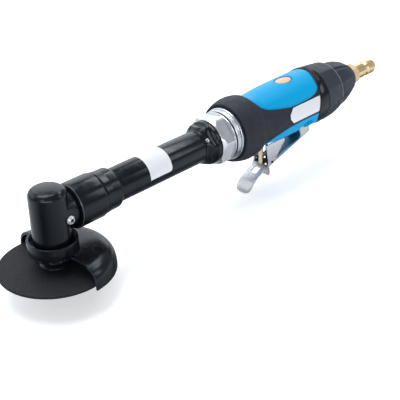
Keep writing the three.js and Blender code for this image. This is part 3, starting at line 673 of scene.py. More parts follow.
def patch(name, outline, r, thick, mat, x0=0.0, step=1.0, round_edge=True, smooth=40):
    """A sheet with an outline in (x, arc length) laid on a cylinder about the x axis."""
    out = densify(outline, step)
    P2 = [Vector(p) for p in out]
    xs = [p[0] for p in out]
    ss = [p[1] for p in out]
    inner = []
    for u in np.arange(min(xs) + step / 2, max(xs), step):
        for s in np.arange(min(ss) + step / 2, max(ss), step):
            inner.append((u, s))
    keep = [q for q in inner if _inside(q, out) and _dist(q, out) > step * 0.55]
    v2, _, f2, _, _, _ = delaunay_2d_cdt(P2 + [Vector(q) for q in keep], [], [list(range(len(P2)))], 1, 1e-7)
    n = len(v2)
    def at(p, rr):
        t = p[1] / r
        return (p[0], rr * math.cos(t), rr * math.sin(t))
    V = [at(p, r) for p in v2] + [at(p, r + thick) for p in v2]
    F = [tuple(f) for f in f2] + [tuple(i + n for i in reversed(f)) for f in f2]
    m = len(P2)
    F += [(i, (i + 1) % m, (i + 1) % m + n, i + n) for i in range(m)]
    return new_mesh(name, V, F, mat, smooth, weld=1e-8)


def _inside(q, poly):
    c = False
    n = len(poly)
    for i in range(n):
        (x1, y1), (x2, y2) = poly[i][:2], poly[(i + 1) % n][:2]
        if (y1 > q[1]) != (y2 > q[1]) and q[0] < (x2 - x1) * (q[1] - y1) / (y2 - y1) + x1:
            c = not c
    return c


def _dist(q, poly):
    P = np.array([p[:2] for p in poly])
    Q = np.roll(P, -1, 0)
    d = Q - P
    t = np.clip(((np.array(q) - P) * d).sum(1) / np.maximum((d * d).sum(1), 1e-12), 0, 1)
    return float(np.sqrt((((P + d * t[:, None]) - np.array(q)) ** 2).sum(1)).min())


_a = lambda deg, r: math.radians(deg) * r
RL = 11.86
tl = patch("label_tube", fillet([(75.3, _a(66, RL), 1.6), (95, _a(66, RL), 1.6), (95, _a(186, RL), 2.2), (75.3, _a(186, RL), 0.5)]), RL, 0.12, "label", step=1.2)
place(tl, "housing", "tube_label")

# ------------------------------------------------------------------ flared adapter, pin, clamp nut, rings


def _ad(H, R, T):
    flat = hexr(27.6, T, math.radians(21))
    w = np.clip((137.0 - H) / 2.0, 0, 1)
    return np.where((H < 137.0) & (R > 11), R + w * (smin(R, flat, 0.9) - R), R)


_ap = fillet([(128.1, 9.4), (128.1, 11.9, .3), (129.6, 12.1, 1.5), (131.2, 13.6, 1.2), (133.2, 15.3, 1.5), (136.4, 16.0, 1.5), (139.6, 16.0, .5), (139.6, 13.2), (145.2, 13.2, .2), (145.2, 9.4)])
adapter = lathe("adapter", "x", densify(_ap, 0.35), "black_tube", 240, shape=_ad)
hp = lathe("t_hp", "z", [(10.6, 0), (10.6, 1.9), (20, 1.9), (20, 0)], "black_tube", 40, closed=False)
hp.data.transform(Matrix.Translation(Vector(to_world((130.6, 0, 0)))) @ Matrix.Rotation(math.radians(54), 4, "X") @ Matrix.Translation(-Vector(to_world((0, 0, 0)))))
boolean(adapter, [hp])
place(adapter, "housing", "rear_adapter")
pin = lathe("pin_adapter", "z", [(10.9, 0), (10.9, 1.6), (13.2, 1.6), (13.7, 1.35), (13.95, 0.9), (14.05, 0)], "chrome", 48, closed=False)
pin.data.transform(Matrix.Translation(Vector(to_world((130.6, 0, 0)))) @ Matrix.Rotation(math.radians(54), 4, "X") @ Matrix.Translation(-Vector(to_world((0, 0, 0)))))
place(pin, "housing", "adapter_pin")


def _nut(H, R, T):
    flat = hexr(33.0, T, math.radians(140))
    return np.where((H > 140.2) & (H < 150.7) & ((R > 16.3) | (H < 142.0)) & (R > 14.0), smin(R, flat, 0.1), R)


_nprof = densify(fillet([(139.9, 13.5), (139.9, 16.5, .25), (142.5, 18.4, .5), (151.7, 18.4, .3), (152.1, 18.0, .2), (152.1, 15.7), (145.6, 15.7), (145.6, 13.5)]), 0.3)
nut = lathe("nut", "x", _nprof, ["chrome_x", "chrome_nut", "chrome_flat_shaded"], 360, shape=_nut, smooth=22)
for f in nut.data.polygons:
    x, y, z = f.center.x * 1000 - SHIFT[0], f.center.y * 1000, f.center.z * 1000 - SHIFT[2]
    rr = math.hypot(y, z)
    if 140.2 < x < 150.6 and rr > 15.9 and abs(f.normal.x) < 0.2:
        # the two wrench flats (at 140° and 320°) get a darker finish, which is painted shade on the flat that faces the
        # front; the other four only turned and plated
        f.material_index = 2 if abs((math.degrees(math.atan2(z, y)) - 140 + 90) % 180 - 90) < 30 else 1
place(nut, "housing", "clamp_nut")
place(lathe("ring_retaining", "x", fillet([(153.2, 17.5), (153.2, 18.5, .2), (153.5, 18.8, .15), (154.0, 18.8, .1), (154.15, 18.35, .05), (154.4, 18.35, .05), (154.55, 18.8, .1), (155.1, 18.85, .1), (155.25, 18.4, .05), (155.5, 18.4, .05), (155.65, 18.85, .1), (156.3, 18.85, .2), (156.6, 18.5, .15), (156.6, 17.5)]), "chrome_x", 160), "housing", "retaining_ring")
place(lathe("ring_bezel", "x", fillet([(156.9, 17.5), (156.9, 19.2, .15), (157.4, 19.5, .2), (158.9, 19.5, .2), (159.2, 19.1, .1), (159.6, 19.1, .1), (159.6, 17.5)]), "chrome_x", 160), "housing", "bezel_ring")


_mh = [(145.9, 14.1), (145.9, 15.5), (152.5, 15.5), (152.5, 17.2)]
for k in range(4):
    x = 152.9 + k * 1.6
    _mh += [(x, 17.2), (x + .4, 16.7), (x + .8, 16.7), (x + 1.2, 17.2)]
_mh += [(191, 17.2), (191, 14.9), (152.95, 14.9), (152.95, 14.1)]
place(lathe("barrel", "x", _mh, "dark_steel_x", 128), "housing", "motor_housing")

# ------------------------------------------------------------------ handle
GRIP = [(159.15, 21.0), (159.05, 21.35), (159.15, 21.7)] + spline([(159.3, 21.9), (160.6, 22.35), (162.6, 22.95), (165.5, 23.6), (169, 24.0), (173.5, 23.85), (177.2, 23.2), (180.2, 22.0), (182.8, 20.95), (185.4, 20.45), (189, 20.4), (193.3, 20.65), (198, 21.0), (205, 21.45), (220, 21.8), (238, 22.0), (250.4, 22.2)], 8)
GX, GR = [p[0] for p in GRIP[3:]], [p[1] for p in GRIP[3:]]


def grip_r(x):
    return np.interp(x, GX, GR)


_half = spline([(177.6, 0), (177.9, 5.6), (179.2, 9.8), (182.0, 12.6), (185.6, 14.3), (196.4, 17.1), (208.4, 19.0), (222, 19.4), (236, 19.0), (239.6, 18.3)], 6) + fillet([(239.6, 18.3), (242.3, 17.4, 1.6), (243.2, 14.4)], closed=False, seg=4)[1:-1] + spline([(243.2, 14.4), (244.6, 10), (246.2, 5), (247.0, 0)], 5)
PANEL = _half + [(x, -y) for x, y in reversed(_half[1:-1])]
UNDER = spline([(179.5, -32), (181.5, -20.5), (186, -15.2), (193, -10.8), (203, -7.2), (215, -5.6), (232, -5.2), (250.6, -5.4)], 8) + [(250.6, -32)]


def band_x(z):
    """Front edge of the rear band: furthest forward at mid height."""
    return np.minimum(240.3 + np.where(z > -5, 9.1 * ((z + 5) / 27.3) ** 2, 7.7 * ((z + 5) / 15) ** 2), 250.2)


def band_outline(d):
    return [(float(band_x(z)) - d, float(z)) for z in np.linspace(-24, 24, 49)] + [(262, 24), (262, -24)]


def poly_dist(H, Y, poly):
    """Distance from points to an outline, and whether they are inside, both as arrays."""
    P = np.array([p[:2] for p in poly])
    Q = np.roll(P, -1, 0)
    d = Q - P
    L = np.maximum((d * d).sum(1), 1e-12)
    x, y = H.ravel(), Y.ravel()
    best = np.full(x.shape, 1e9)
    ins = np.zeros(x.shape, bool)
    for i in range(len(P)):
        t = np.clip(((x - P[i, 0]) * d[i, 0] + (y - P[i, 1]) * d[i, 1]) / L[i], 0, 1)
        best = np.minimum(best, np.hypot(x - P[i, 0] - t * d[i, 0], y - P[i, 1] - t * d[i, 1]))
        c = (P[i, 1] > y) != (Q[i, 1] > y)
        with np.errstate(divide="ignore", invalid="ignore"):
            ins ^= c & (x < d[i, 0] * (y - P[i, 1]) / (d[i, 1] if d[i, 1] else 1e-12) + P[i, 0])
    return best.reshape(H.shape), ins.reshape(H.shape)


def round_drop(d, r):
    """How far an edge of radius r falls at distance d from it."""
    q = np.clip(1 - d / r, 0, 1)
    return r * (1 - np.sqrt(np.clip(1 - q * q, 0, 1)))


def grip_shape(gap, r):
    def f(H, R, T):
        out = R > 20.2
        Y, Z = R * np.cos(T), R * np.sin(T)
        dp, _ = poly_dist(H, Y, PANEL)
        du, _ = poly_dist(H, Z, UNDER)
        d = np.where(Z > 5, dp, 99.0)
        d2 = np.where(Z < 0, du * np.where(np.abs(np.cos(T)) > 0.3, 1 / np.maximum(np.abs(np.cos(T)), .3), 1), 99.0)
        db = np.maximum(band_x(Z) - 0.25 - H, 0)
        drop = np.maximum(round_drop(np.maximum(np.minimum(d, d2) - gap, 0), r), round_drop(db, 0.5))
        return np.where(out, np.maximum(R - drop, 20.02), R)
    return f


def grow(pts, d, cx, cz):
    out = []
    for u, w in pts:
        l = math.hypot(u - cx, w - cz)
        out.append((u + (u - cx) / l * d, w + (w - cz) / l * d))
    return out


_rg = densify([(160.5, 19.9), (159.5, 20.6)] + GRIP + [(250.4, 19.9)], 0.45)
rub = lathe("grip", "x", _rg, "rubber", 300, shape=grip_shape(0.3, 0.75))
boolean(rub, [prism("t_p", "xy", grow(PANEL, 0.3, 213, 0), 0, 41), prism("t_u", "xz", grow(UNDER, 0.3, 215, -22), -41, 41), prism("t_b", "xz", band_outline(0.25), -41, 41)])
place(rub, "housing", "rubber_grip")


def blue_shape(poly, axis, r):
    def f(H, R, T):
        V = R * np.cos(T) if axis == "y" else R * np.sin(T)
        d, _ = poly_dist(H, V, poly)
        k = 1.0 if axis == "y" else 1 / np.maximum(np.abs(np.cos(T)), .3)
        return np.where(R > 20.2, R - round_drop(d * k, r), R)
    return f


_seg = [(x, r) for x, r in GRIP if 176.5 < x < 253]
_pp = densify([(_seg[0][0], 18.9)] + _seg + [(_seg[-1][0], 18.9)], 0.45)
top = lathe("t_top", "x", _pp, "blue", 190, shape=blue_shape(PANEL, "y", 0.6), a0=math.radians(20), a1=math.radians(160))
boolean(top, [prism("t_pp", "xy", PANEL, 0, 41)], "INTERSECT")
oval = [(222.6 + 7.9 * math.cos(a), 5.5 * math.sin(a)) for a in np.linspace(0, 2 * PI, 64, endpoint=False)]
boolean(top, [patch("t_ov", [(u, _a(90, 20.6) + v) for u, v in oval], 20.6, 3.0, "blue", step=1.2)])
_seg2 = [(x, r) for x, r in GRIP if 178 < x < 251]
_pu = densify([(_seg2[0][0], 18.9)] + _seg2 + [(_seg2[-1][0], 18.9)], 0.45)
low = lathe("t_low", "x", _pu, "blue", 240, shape=blue_shape(UNDER, "z", 0.6), a0=math.radians(185), a1=math.radians(355))
boolean(low, [prism("t_uu", "xz", UNDER, -41, 41)], "INTERSECT")
boolean(low, [prism("t_bb", "xz", band_outline(0.3), -41, 41)])
SCALLOP = [(221.4, -30), (222.0, -17.5)] + spline([(222.3, -16.2), (224.2, -11.8), (227.5, -9.1), (231.5, -8.6), (235.0, -8.9), (236.4, -11.0), (237.6, -16.5)], 5) + [(238, -30)]
cuts = [lathe("t_vb", "z", [(-40, 0), (-40, 4.4), (11.4, 4.4), (11.4, 0)], "blue", 48, c=(197.4, 0), closed=False),
        lathe("t_pb", "y", [(-12, 0), (-12, 1.75), (12, 1.75), (12, 0)], "blue", 40, c=(240.2, -18.4), closed=False),
        prism("t_g1", "xz", [(192.6, -30), (248.6, -30), (248.6, -13.4), (192.6, -13.4)], 6.5, 8.6),
        prism("t_g2", "xz", [(192.6, -30), (248.6, -30), (248.6, -13.4), (192.6, -13.4)], -8.6, -6.5),
        prism("t_s1", "xz", SCALLOP, 6.5, 30),
        prism("t_s2", "xz", SCALLOP, -30, -6.5),
        prism("t_lp", "xz", [(202.3, -30), (216.5, -30), (216.5, -14.5), (202.3, -14.5)], -4.1, 4.1)]
cuts2 = []
for c in cuts:
    k = c.copy()
    k.data = c.data.copy()
    COL.objects.link(k)
    cuts2.append(k)
boolean(low, cuts)
core = lathe("t_core", "x", fillet([(160.2, 17.5, .2), (160.2, 19.6, .3), (250.2, 19.6, .2), (250.2, 6.6), (235, 6.6), (235, 4.6), (197, 4.6), (197, 0.5), (191.3, 0.5), (191.3, 17.5)]), "blue", 144)
boolean(core, cuts2)
# the core's front face between bezel and grip takes the dark rubber: painted shade in the gap there
core.data.materials.append(M["rubber"])
for f in core.data.polygons:
    if f.center.x * 1000 - SHIFT[0] < 166 and math.hypot(f.center.y * 1000, f.center.z * 1000 - SHIFT[2]) > 17.6:
        f.material_index = 1
place(join("shell", [top, low, core]), "housing", "handle_shell")

badge = patch("badge", [(222.4 + 7.0 * math.cos(a), _a(90, 20.9) + 4.7 * math.sin(a)) for a in np.linspace(0, 2 * PI, 56, endpoint=False)], 20.9, 0.55, "badge", step=0.8)
place(badge, "housing", "badge_plate")
RS = 22.0
slab = patch("label_side", fillet([(206.2, _a(169.2, RS), .6), (210.4, _a(157.6, RS), .8), (241.5, _a(157.6, RS), .3), (240.9, _a(165.0, RS), 2), (240.3, _a(172.7, RS), 3), (239.7, _a(182.0, RS), 3), (239.5, _a(188.4, RS), .3), (210.0, _a(188.4, RS), .8), (206.2, _a(177.5, RS), .6)]), RS, 0.12, "label", step=1.2)
place(slab, "housing", "side_label")

# ------------------------------------------------------------------ rear end
_bp = densify(fillet([(250.5, 7.6), (250.5, 19.9), (240.0, 19.9), (240.0, 22.3, .3), (245.5, 22.6, 1.5), (250.9, 22.5, .5), (251.8, 22.0, .3), (251.8, 7.6)]), 0.4)


def _band_front(H, R, T):
    f = band_x(np.minimum(R, 22.6) * np.sin(T))
    return np.where((H < 250.4) & (R > 19.0), f + (H - 240.0) / 10.5 * (250.5 - f), H), R


place(lathe("band", "x", _bp, "band", 200, shape=_band_front), "housing", "rear_band")


def _facets(count, depth, turn, h0=-1e9, h1=1e9, grow_in=1.0):
    """Pulls a round piece in towards flats; turn is the angle of one flat's middle."""
    def f(H, R, T):
        hx = hexr(2.0, T, turn, count)          # 1 at the middle of a flat
        top = 1 / math.cos(PI / count)
        w = np.clip((H - h0) / grow_in, 0, 1) * np.clip((h1 - H) / grow_in, 0, 1) if h0 > -1e8 else 1.0
        return R * (1 - depth * w * (top - hx) / (top - 1))
    return f


_fd = _facets(10, 0.034, math.radians(100), 252.4, 271.3, 1.2)


def _defl(H, R, T):
    return np.where(R > 18.5, _fd(H, R, T), R)


_dp = densify(fillet([(252.2, 17.6), (252.2, 22.2, .35), (253.2, 22.75, .6), (259.5, 22.4, 6), (265.5, 21.7, 5), (270.4, 20.8, .5), (270.6, 20.45, .15), (271.4, 20.45, .25), (271.4, 17.6)]), 0.5)
place(lathe("deflector", "x", _dp, "slate", 240, shape=_defl, smooth=20), "deflector", "exhaust_deflector")
# painted highlight line along the deflector's rear rim
tint_ring(bpy.data.objects["deflector"], "slate_highlight_line", [(270.5, 271.2, 20.2)])

_fc = _facets(10, 0.045, math.radians(100), 272.4, 299.5, 2.0)


def _lobes(H, R, T):
    g = np.abs((((T - math.radians(118)) / (2 * PI) * 5) % 1) - 0.5) * 2          # 1 at the groove
    groove = np.clip((g - 0.84) / 0.16, 0, 1)
    w = np.clip((H - 272.6) / 0.8, 0, 1) * np.clip((298.6 - H) / 2.0, 0, 1)
    return np.where(R > 8.8, _fc(H, R, T) * (1 - 0.085 * w * groove ** 0.6), R)


_cap = fillet([(271.8, 7.1), (271.8, 18.2, .35), (272.6, 18.6, .3)], closed=False) + spline([(273.2, 18.8), (276.0, 18.8), (280.0, 18.3), (284.5, 17.35), (289.0, 16.0), (293.2, 14.45), (296.8, 12.75), (299.2, 11.0)], 5) + fillet([(299.2, 11.0), (300.2, 9.9, .5), (300.9, 9.3, .3), (300.9, 8.3, .2), (299.9, 8.1, .1), (299.9, 7.1)], closed=False)
place(lathe("cap", "x", densify(_cap, 0.45), "slate", 300, shape=_lobes, smooth=20), "housing", "rear_cap")
# dark ring on the cap's nose round the air plug: painted shade of the inlet opening, in the latch's black
tint_ring(bpy.data.objects["cap"], "latch", [(299.3, 301.2, 0.0)])


def _plug(H, R, T):
    hx = hexr(15.4, T, PI / 6 + 0.25)
    return np.where((H > 301.5) & (H < 308.6) & (R > 6.7), np.minimum(R, hx), R)


_pl = densify(fillet([(288.2, 2.8), (288.2, 4.6, .2), (301.8, 4.6), (301.8, 8.2, .15), (302.6, 8.9, .1), (307.6, 8.9, .1), (308.4, 8.2, .15), (308.4, 6.6, .2), (309.4, 6.6, .2), (309.9, 6.1, .2), (319.2, 6.1, .4), (320.6, 4.7, .5), (322.8, 4.7, .4), (324.2, 6.0, .3), (331.4, 6.0, .3), (334.0, 4.7, .3), (334.6, 4.3, .15), (334.6, 2.8, .15)]), 0.3)
place(lathe("connector", "x", _pl, "brass", 240, shape=_plug, smooth=28), "housing", "air_plug")

# ------------------------------------------------------------------ lever: a stamped and folded sheet
PLATE = [(262.0, -21.05), (255.0, -23.05), (249.0, -24.7)] + spline([(244.8, -25.9), (235.9, -28.4), (221.2, -32.5), (209.0, -35.95), (202.0, -38.05), (196.5, -39.9), (192.0, -41.5), (186.5, -44.1), (182.5, -46.4), (179.5, -49.1), (177.2, -52.2), (175.9, -55.2)], 6)
PA = np.array(PLATE)
PS = np.concatenate([[0], np.cumsum(np.hypot(*np.diff(PA, axis=0).T))])
TH, RB = 1.1, 1.7           # sheet thickness, outer bend radius


def plate_at(s):
    x, z = np.interp(s, PS, PA[:, 0]), np.interp(s, PS, PA[:, 1])
    e = 0.4
    dx = np.interp(s + e, PS, PA[:, 0]) - np.interp(s - e, PS, PA[:, 0])
    dz = np.interp(s + e, PS, PA[:, 1]) - np.interp(s - e, PS, PA[:, 1])
    l = math.hypot(dx, dz)
    return x, z, (dz / l, -dx / l)            # up normal of the sheet


def s_of_x(x):
    return float(np.interp(-x, -PA[:, 0], PS))


HALF = 8.1
FLAT = HALF - RB


def fold(s, w, off):
    """Point of the folded sheet: s along it, w across the blank, off above the outer (lower) face."""
    x, z, (nx, nz) = plate_at(s)
    sg = 1 if w > 0 else -1
    a = abs(w)
    if a <= FLAT:
        y, up = a, off
    elif a <= FLAT + RB * PI / 2:
        q = (a - FLAT) / RB
        r = RB - off
        y, up = FLAT + r * math.sin(q), RB - r * math.cos(q)
    else:
        y, up = HALF - off, RB + (a - FLAT - RB * PI / 2)
    # the sheet's lower face lies one thickness under the drawn line
    return (x + nx * (up - TH), sg * y, z + nz * (up - TH))


def ear_w(x, z):
    """Blank coordinates of a point of the ear seen from the side."""
    best = min(range(len(PS)), key=lambda i: (PA[i, 0] - x) ** 2 + (PA[i, 1] - z) ** 2)
    s = PS[best]
    for _ in range(6):
        px, pz, (nx, nz) = plate_at(s)
        tx, tz = -nz, nx
        s = min(max(s + ((x - px) * tx + (z - pz) * tz), 0.0), PS[-1])
    px, pz, (nx, nz) = plate_at(s)
    up = (x - px) * nx + (z - pz) * nz + TH
    return s, FLAT + RB * PI / 2 + (up - RB)


_ear = [(245.2, -24.4, 2.2), (245.2, -19.0, 3.2), (242.4, -14.7, 2.6), (237.6, -14.9, 2.4), (234.0, -21.0, 1.5), (235.6, -27.2, 1.6)]
_eb = [ear_w(x, z) + (r,) for x, z, r in _ear]
_waist = FLAT + RB * 1.25
_wing = [(205.4, -34.9, 1.5), (216.2, -23.4, .9), (214.8, -21.2, .5), (195.6, -21.2, .5), (197.2, -31.4, 2.0), (198.2, -36.6, 1.5)]
_wb = [ear_w(x, z) + (r,) for x, z, r in _wing]
blank = fillet([(s_of_x(244.6), 5.6)] + _eb + [(s_of_x(233.8), _waist, 1.2), (s_of_x(209.0), _waist, 1.2)] + _wb + [(s_of_x(197.0), 8.1)], closed=False, seg=6)
front = [(s_of_x(197.0), 8.1), (s_of_x(194.0), 7.35), (s_of_x(190.0), 6.95), (s_of_x(186.0), 6.9), (s_of_x(182.0), 7.05), (s_of_x(179.4), 7.2), (s_of_x(177.9), 6.8), (PS[-1] - 2.0, 5.9), (PS[-1] - 0.8, 4.6), (PS[-1] - 0.1, 2.6)]
side = blank + spline(front, 4)[1:]
outline = side + [(PS[-1], 0.0)] + [(s, -w) for s, w in reversed(side)]
win = fillet([(s_of_x(194.4), -2.9, .8), (s_of_x(188.2), -2.9, .8), (s_of_x(188.2), 2.9, .8), (s_of_x(194.4), 2.9, .8)])
slot_a = fillet([(s_of_x(206.6), 1.9, .3), (s_of_x(198.6), 1.9, .3), (s_of_x(198.6), 4.3, .3), (s_of_x(206.6), 4.3, .3)])
slot_b = fillet([(s_of_x(206.6), -6.6, .3), (s_of_x(198.6), -6.6, .3), (s_of_x(198.6), -1.9, .3), (s_of_x(206.6), -1.9, .3)])


def circ(s, w, r, n=28):
    return [(s + r * math.cos(a), w + r * math.sin(a)) for a in np.linspace(0, 2 * PI, n, endpoint=False)]


_pv = ear_w(240.2, -18.4)
_lp = ear_w(201.4, -36.6)
holes = [win, slot_a, slot_b, circ(_pv[0], _pv[1], 1.85), circ(_pv[0], -_pv[1], 1.85), circ(_lp[0], _lp[1], 1.2, 20), circ(_lp[0], -_lp[1], 1.2, 20)]


def sheet_mesh(name, outline, holes, fold, th, step, mat):
    loops, pts = [], []
    for lp in [outline] + holes:
        lp = densify(lp, step)
        loops.append(list(range(len(pts), len(pts) + len(lp))))
        pts += [tuple(p[:2]) for p in lp]
    O = np.array([pts[i] for i in loops[0]])
    allp = np.array(pts)
    grid = []
    for s in np.arange(O[:, 0].min(), O[:, 0].max(), step):
        for w in np.arange(O[:, 1].min(), O[:, 1].max(), step):
            grid.append((s + 0.01, w + 0.007))
    G = np.array(grid)
    ok = np.zeros(len(G), bool)
    d0, ins = poly_dist(G[:, 0], G[:, 1], [pts[i] for i in loops[0]])
    ok = ins & (d0 > step * .5)
    for lp in loops[1:]:
        d1, in1 = poly_dist(G[:, 0], G[:, 1], [pts[i] for i in lp])
        ok &= ~in1 & (d1 > step * .5)
    P2 = [Vector(p) for p in pts] + [Vector(p) for p in G[ok]]
    v2, _, f2, _, _, _ = delaunay_2d_cdt(P2, [], loops, 1, 1e-7)
    # keep triangles inside the outline and outside the holes
    F2 = []
    C = np.array([np.mean([v2[i] for i in f], axis=0) for f in f2])
    _, keep = poly_dist(C[:, 0], C[:, 1], [pts[i] for i in loops[0]])
    for lp in loops[1:]:
        _, in1 = poly_dist(C[:, 0], C[:, 1], [pts[i] for i in lp])
        keep &= ~in1
    F2 = [f for f, k in zip(f2, keep) if k]
    n = len(v2)
    V = [fold(p[0], p[1], 0.0) for p in v2] + [fold(p[0], p[1], th) for p in v2]
    F = [tuple(f) for f in F2] + [tuple(i + n for i in reversed(f)) for f in F2]
    edges = {}
    for f in F2:
        for a, b in zip(f, list(f[1:]) + [f[0]]):
            edges[(min(a, b), max(a, b))] = edges.get((min(a, b), max(a, b)), 0) + 1
    F += [(a, b, b + n, a + n) for (a, b), c in edges.items() if c == 1]
    ids = [0] * len(F)
    for i, f in enumerate(F2):
        c = np.mean([v2[k] for k in f], axis=0)
        # upper faces of the flat and bends behind x 198.6 take the dark teal steel: painted shade with a painted
        # reflection of the blue shell; the paddle in front takes the pad steel
        if abs(c[1]) <= FLAT + RB * PI / 2:
            ids[len(F2) + i] = 1 if c[0] < s_of_x(198.6) else 2
    return new_mesh(name, V, F, mat, 30, weld=1e-7, mat_ids=ids)


lever = sheet_mesh("lever", outline, holes, fold, TH, 0.9, ["satin_steel", "shade_steel", "pad_steel"])
bevel(lever, 0.28, 2, 50, 30)
place(lever, "lever", "throttle_lever")
place(lathe("pin_lever", "y", fillet([(-8.7, 0), (-8.7, 1.45, .35), (8.7, 1.45, .35), (8.7, 0)], closed=False), "steel", 40, c=(240.2, -18.4), closed=False), "housing", "lever_pin")
place(lathe("pin_latch", "y", fillet([(-8.5, 0), (-8.5, 0.85, .2), (8.5, 0.85, .2), (8.5, 0)], closed=False), "dark_steel", 32, c=(201.4, -36.6), closed=False), "lever", "latch_pin")
px, pz = 201.4, -36.6
LM = ["latch", "satin_steel"]
_leg = fillet([(px - 1.2, pz, 1), (px - 1.2, -31.5, 3), (px - 1.3, -22.5, .3), (px + 0.1, -22.5, .5), (px + 1.0, -31.5, 3), (px + 1.6, pz, 1), (px + 1.8, -44.0, .2), (px + 0.2, -44.0, .2), (px - 0.2, -39.6, 1)])
latch = prism("latch", "xz", _leg, 2.3, 3.6, LM)
_tab = prism("t_tab", "xz", fillet([(px + 0.1, -43.0, .3), (px + 1.7, -43.0, .3), (px + 2.9, -49.4, 1.0), (px + 2.6, -50.8, .5), (px + 1.5, -50.6, .6), (px + 0.8, -46.8, 2)]), -3.6, 3.6, LM)
_tt = prism("t_tt", "yz", fillet([(-3.6, -40.0), (-3.6, -47.4, 1.2), (-2.5, -51.0, 1.4), (2.5, -51.0, 1.4), (3.6, -47.4, 1.2), (3.6, -40.0)]), 198, 208, LM)
boolean(_tab, [_tt], "INTERSECT")
for f in _tab.data.polygons:
    f.material_index = 1
boolean(latch, [lathe("t_hubA", "y", fillet([(2.3, 0), (2.3, 2.1, .2), (3.6, 2.1, .2), (3.6, 0)], closed=False), LM, 48, c=(px, pz), closed=False),
                prism("t_leg", "xz", _leg, -3.6, -2.3, LM), lathe("t_hubB", "y", fillet([(-3.6, 0), (-3.6, 2.1, .2), (-2.3, 2.1, .2), (-2.3, 0)], closed=False), LM, 48, c=(px, pz), closed=False), _tab], "UNION")
boolean(latch, [lathe("t_lh", "y", [(-5, 0), (-5, 1.2), (5, 1.2), (5, 0)], LM, 32, c=(px, pz), closed=False)])
bevel(latch, 0.18, 2, 50)
place(latch, "latch", "safety_latch")


def coil(name, centre, r, wire, rise, turns, axis, mat, n=16, per=28, ends=0.0):
    """A closed helical wire. axis z or y; rise is the whole length."""
    steps = int(turns * per)
    V, F = [], []
    for i in range(steps + 1):
        t = i / steps
        a = t * turns * 2 * PI
        flat = min(1.0, t / ends, (1 - t) / ends) if ends else 1.0
        tt = t
        c = np.array([r * math.cos(a), r * math.sin(a), rise * tt])
        rad = np.array([math.cos(a), math.sin(a), 0])
        tan = np.array([-r * math.sin(a) * turns * 2 * PI, r * math.cos(a) * turns * 2 * PI, rise])
        tan /= np.linalg.norm(tan)
        bi = np.cross(tan, rad)
        for k in range(n):
            q = 2 * PI * k / n
            p = c + wire * (math.cos(q) * rad + math.sin(q) * bi)
            if axis == "y":
                p = np.array([p[0], p[2], p[1]])
            V.append(p + np.array(centre))
    for i in range(steps):
        for k in range(n):
            F.append((i * n + k, i * n + (k + 1) % n, (i + 1) * n + (k + 1) % n, (i + 1) * n + k))
    F.append(tuple(range(n)))
    F.append(tuple(steps * n + k for k in reversed(range(n))))
    return new_mesh(name, V, F, mat, 60)


place(coil("spring_latch", (px, -6.3, pz), 1.7, 0.3, 2.0, 3, "y", "dark_steel"), "lever", "latch_spring")
stem = lathe("stem", "z", fillet([(-39.0, 0), (-39.0, 0.7, .2), (-37.9, 1.5, .4), (-30.4, 1.5, .2), (-29.6, 1.85, .3), (-8.7, 1.85, .2), (-8.4, 3.6, .2), (-6.8, 3.6, .3), (-6.8, 0)], closed=False), "cream", 64, c=(197.4, 0), closed=False)
place(stem, "valve", "valve_stem")
spring = place(coil("spring_valve", (197.4, 0, -5.9), 2.9, 0.43, 16.5, 5, "z", "steel"), "housing", "valve_spring")
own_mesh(spring)
place(lathe("bushing_valve", "z", fillet([(-20.9, 2.15, .2), (-20.9, 4.1, .4), (-9.0, 4.1, .2), (-9.0, 2.15)]), "brass", 64, c=(197.4, 0)), "housing", "valve_bushing")

# ------------------------------------------------------------------ finishes of the nodes that stay
INNER = {
    "spindle": "steel", "spindle_bearing_lower": "steel", "spindle_bearing_upper": "steel", "bevel_gear": "steel", "bevel_pinion": "steel",
    "pinion_bearing": "steel", "tube_bearing_front": "steel", "tube_bearing_rear": "steel", "drive_shaft": "steel", "shaft_coupling": "dark_steel_x",
    "front_end_plate": "steel", "rotor_bearing_front": "steel", "cylinder_liner": "steel", "rear_end_plate": "steel", "rotor_bearing_rear": "steel",
    "rotor": "steel", "vane_1": "vane", "vane_2": "vane", "vane_3": "vane", "vane_4": "vane", "silencer": "felt", "inlet_bushing": "steel",
}
for node, mt in INNER.items():
    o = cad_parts[node]
    o.data.materials.clear()
    o.data.materials.append(M[mt])

# ------------------------------------------------------------------ floor, light, camera
fm = bpy.data.materials.new("paper_floor")
fm.use_nodes = True
nt = fm.node_tree
bs = nt.nodes["Principled BSDF"]
bs.inputs["Base Color"].default_value = (0.86, 0.865, 0.875, 1)
bs.inputs["Roughness"].default_value = 0.9
bs.inputs["Specular IOR Level"].default_value = 0.1
bs.inputs["Emission Color"].default_value = (1, 1, 1, 1)
bs.inputs["Emission Strength"].default_value = 0.45
dim = nt.nodes.new("ShaderNodeEmission")
geo = nt.nodes.new("ShaderNodeNewGeometry")
sep = nt.nodes.new("ShaderNodeSeparateXYZ")
grad = nt.nodes.new("ShaderNodeMapRange")
grad.interpolation_type = "SMOOTHSTEP"
grad.inputs["From Min"].default_value, grad.inputs["From Max"].default_value = -0.04, 0.09
grad.inputs["To Min"].default_value, grad.inputs["To Max"].default_value = 0.03, 1.15
nt.links.new(geo.outputs["Position"], sep.inputs[0])
nt.links.new(sep.outputs["Y"], grad.inputs["Value"])


def _math(op, a, b):
    n = nt.nodes.new("ShaderNodeMath")
    n.operation = op
    for i, v in enumerate((a, b)):
        if isinstance(v, (int, float)):
            n.inputs[i].default_value = v
        else:
            nt.links.new(v, n.inputs[i])
    return n.outputs[0]


def _step(v, lo, hi, a, b, kind="SMOOTHSTEP"):
    n = nt.nodes.new("ShaderNodeMapRange")
    n.interpolation_type = kind
    for k, q in (("From Min", lo), ("From Max", hi), ("To Min", a), ("To Max", b)):
        n.inputs[k].default_value = q
    nt.links.new(v, n.inputs["Value"])
    return n.outputs[0]
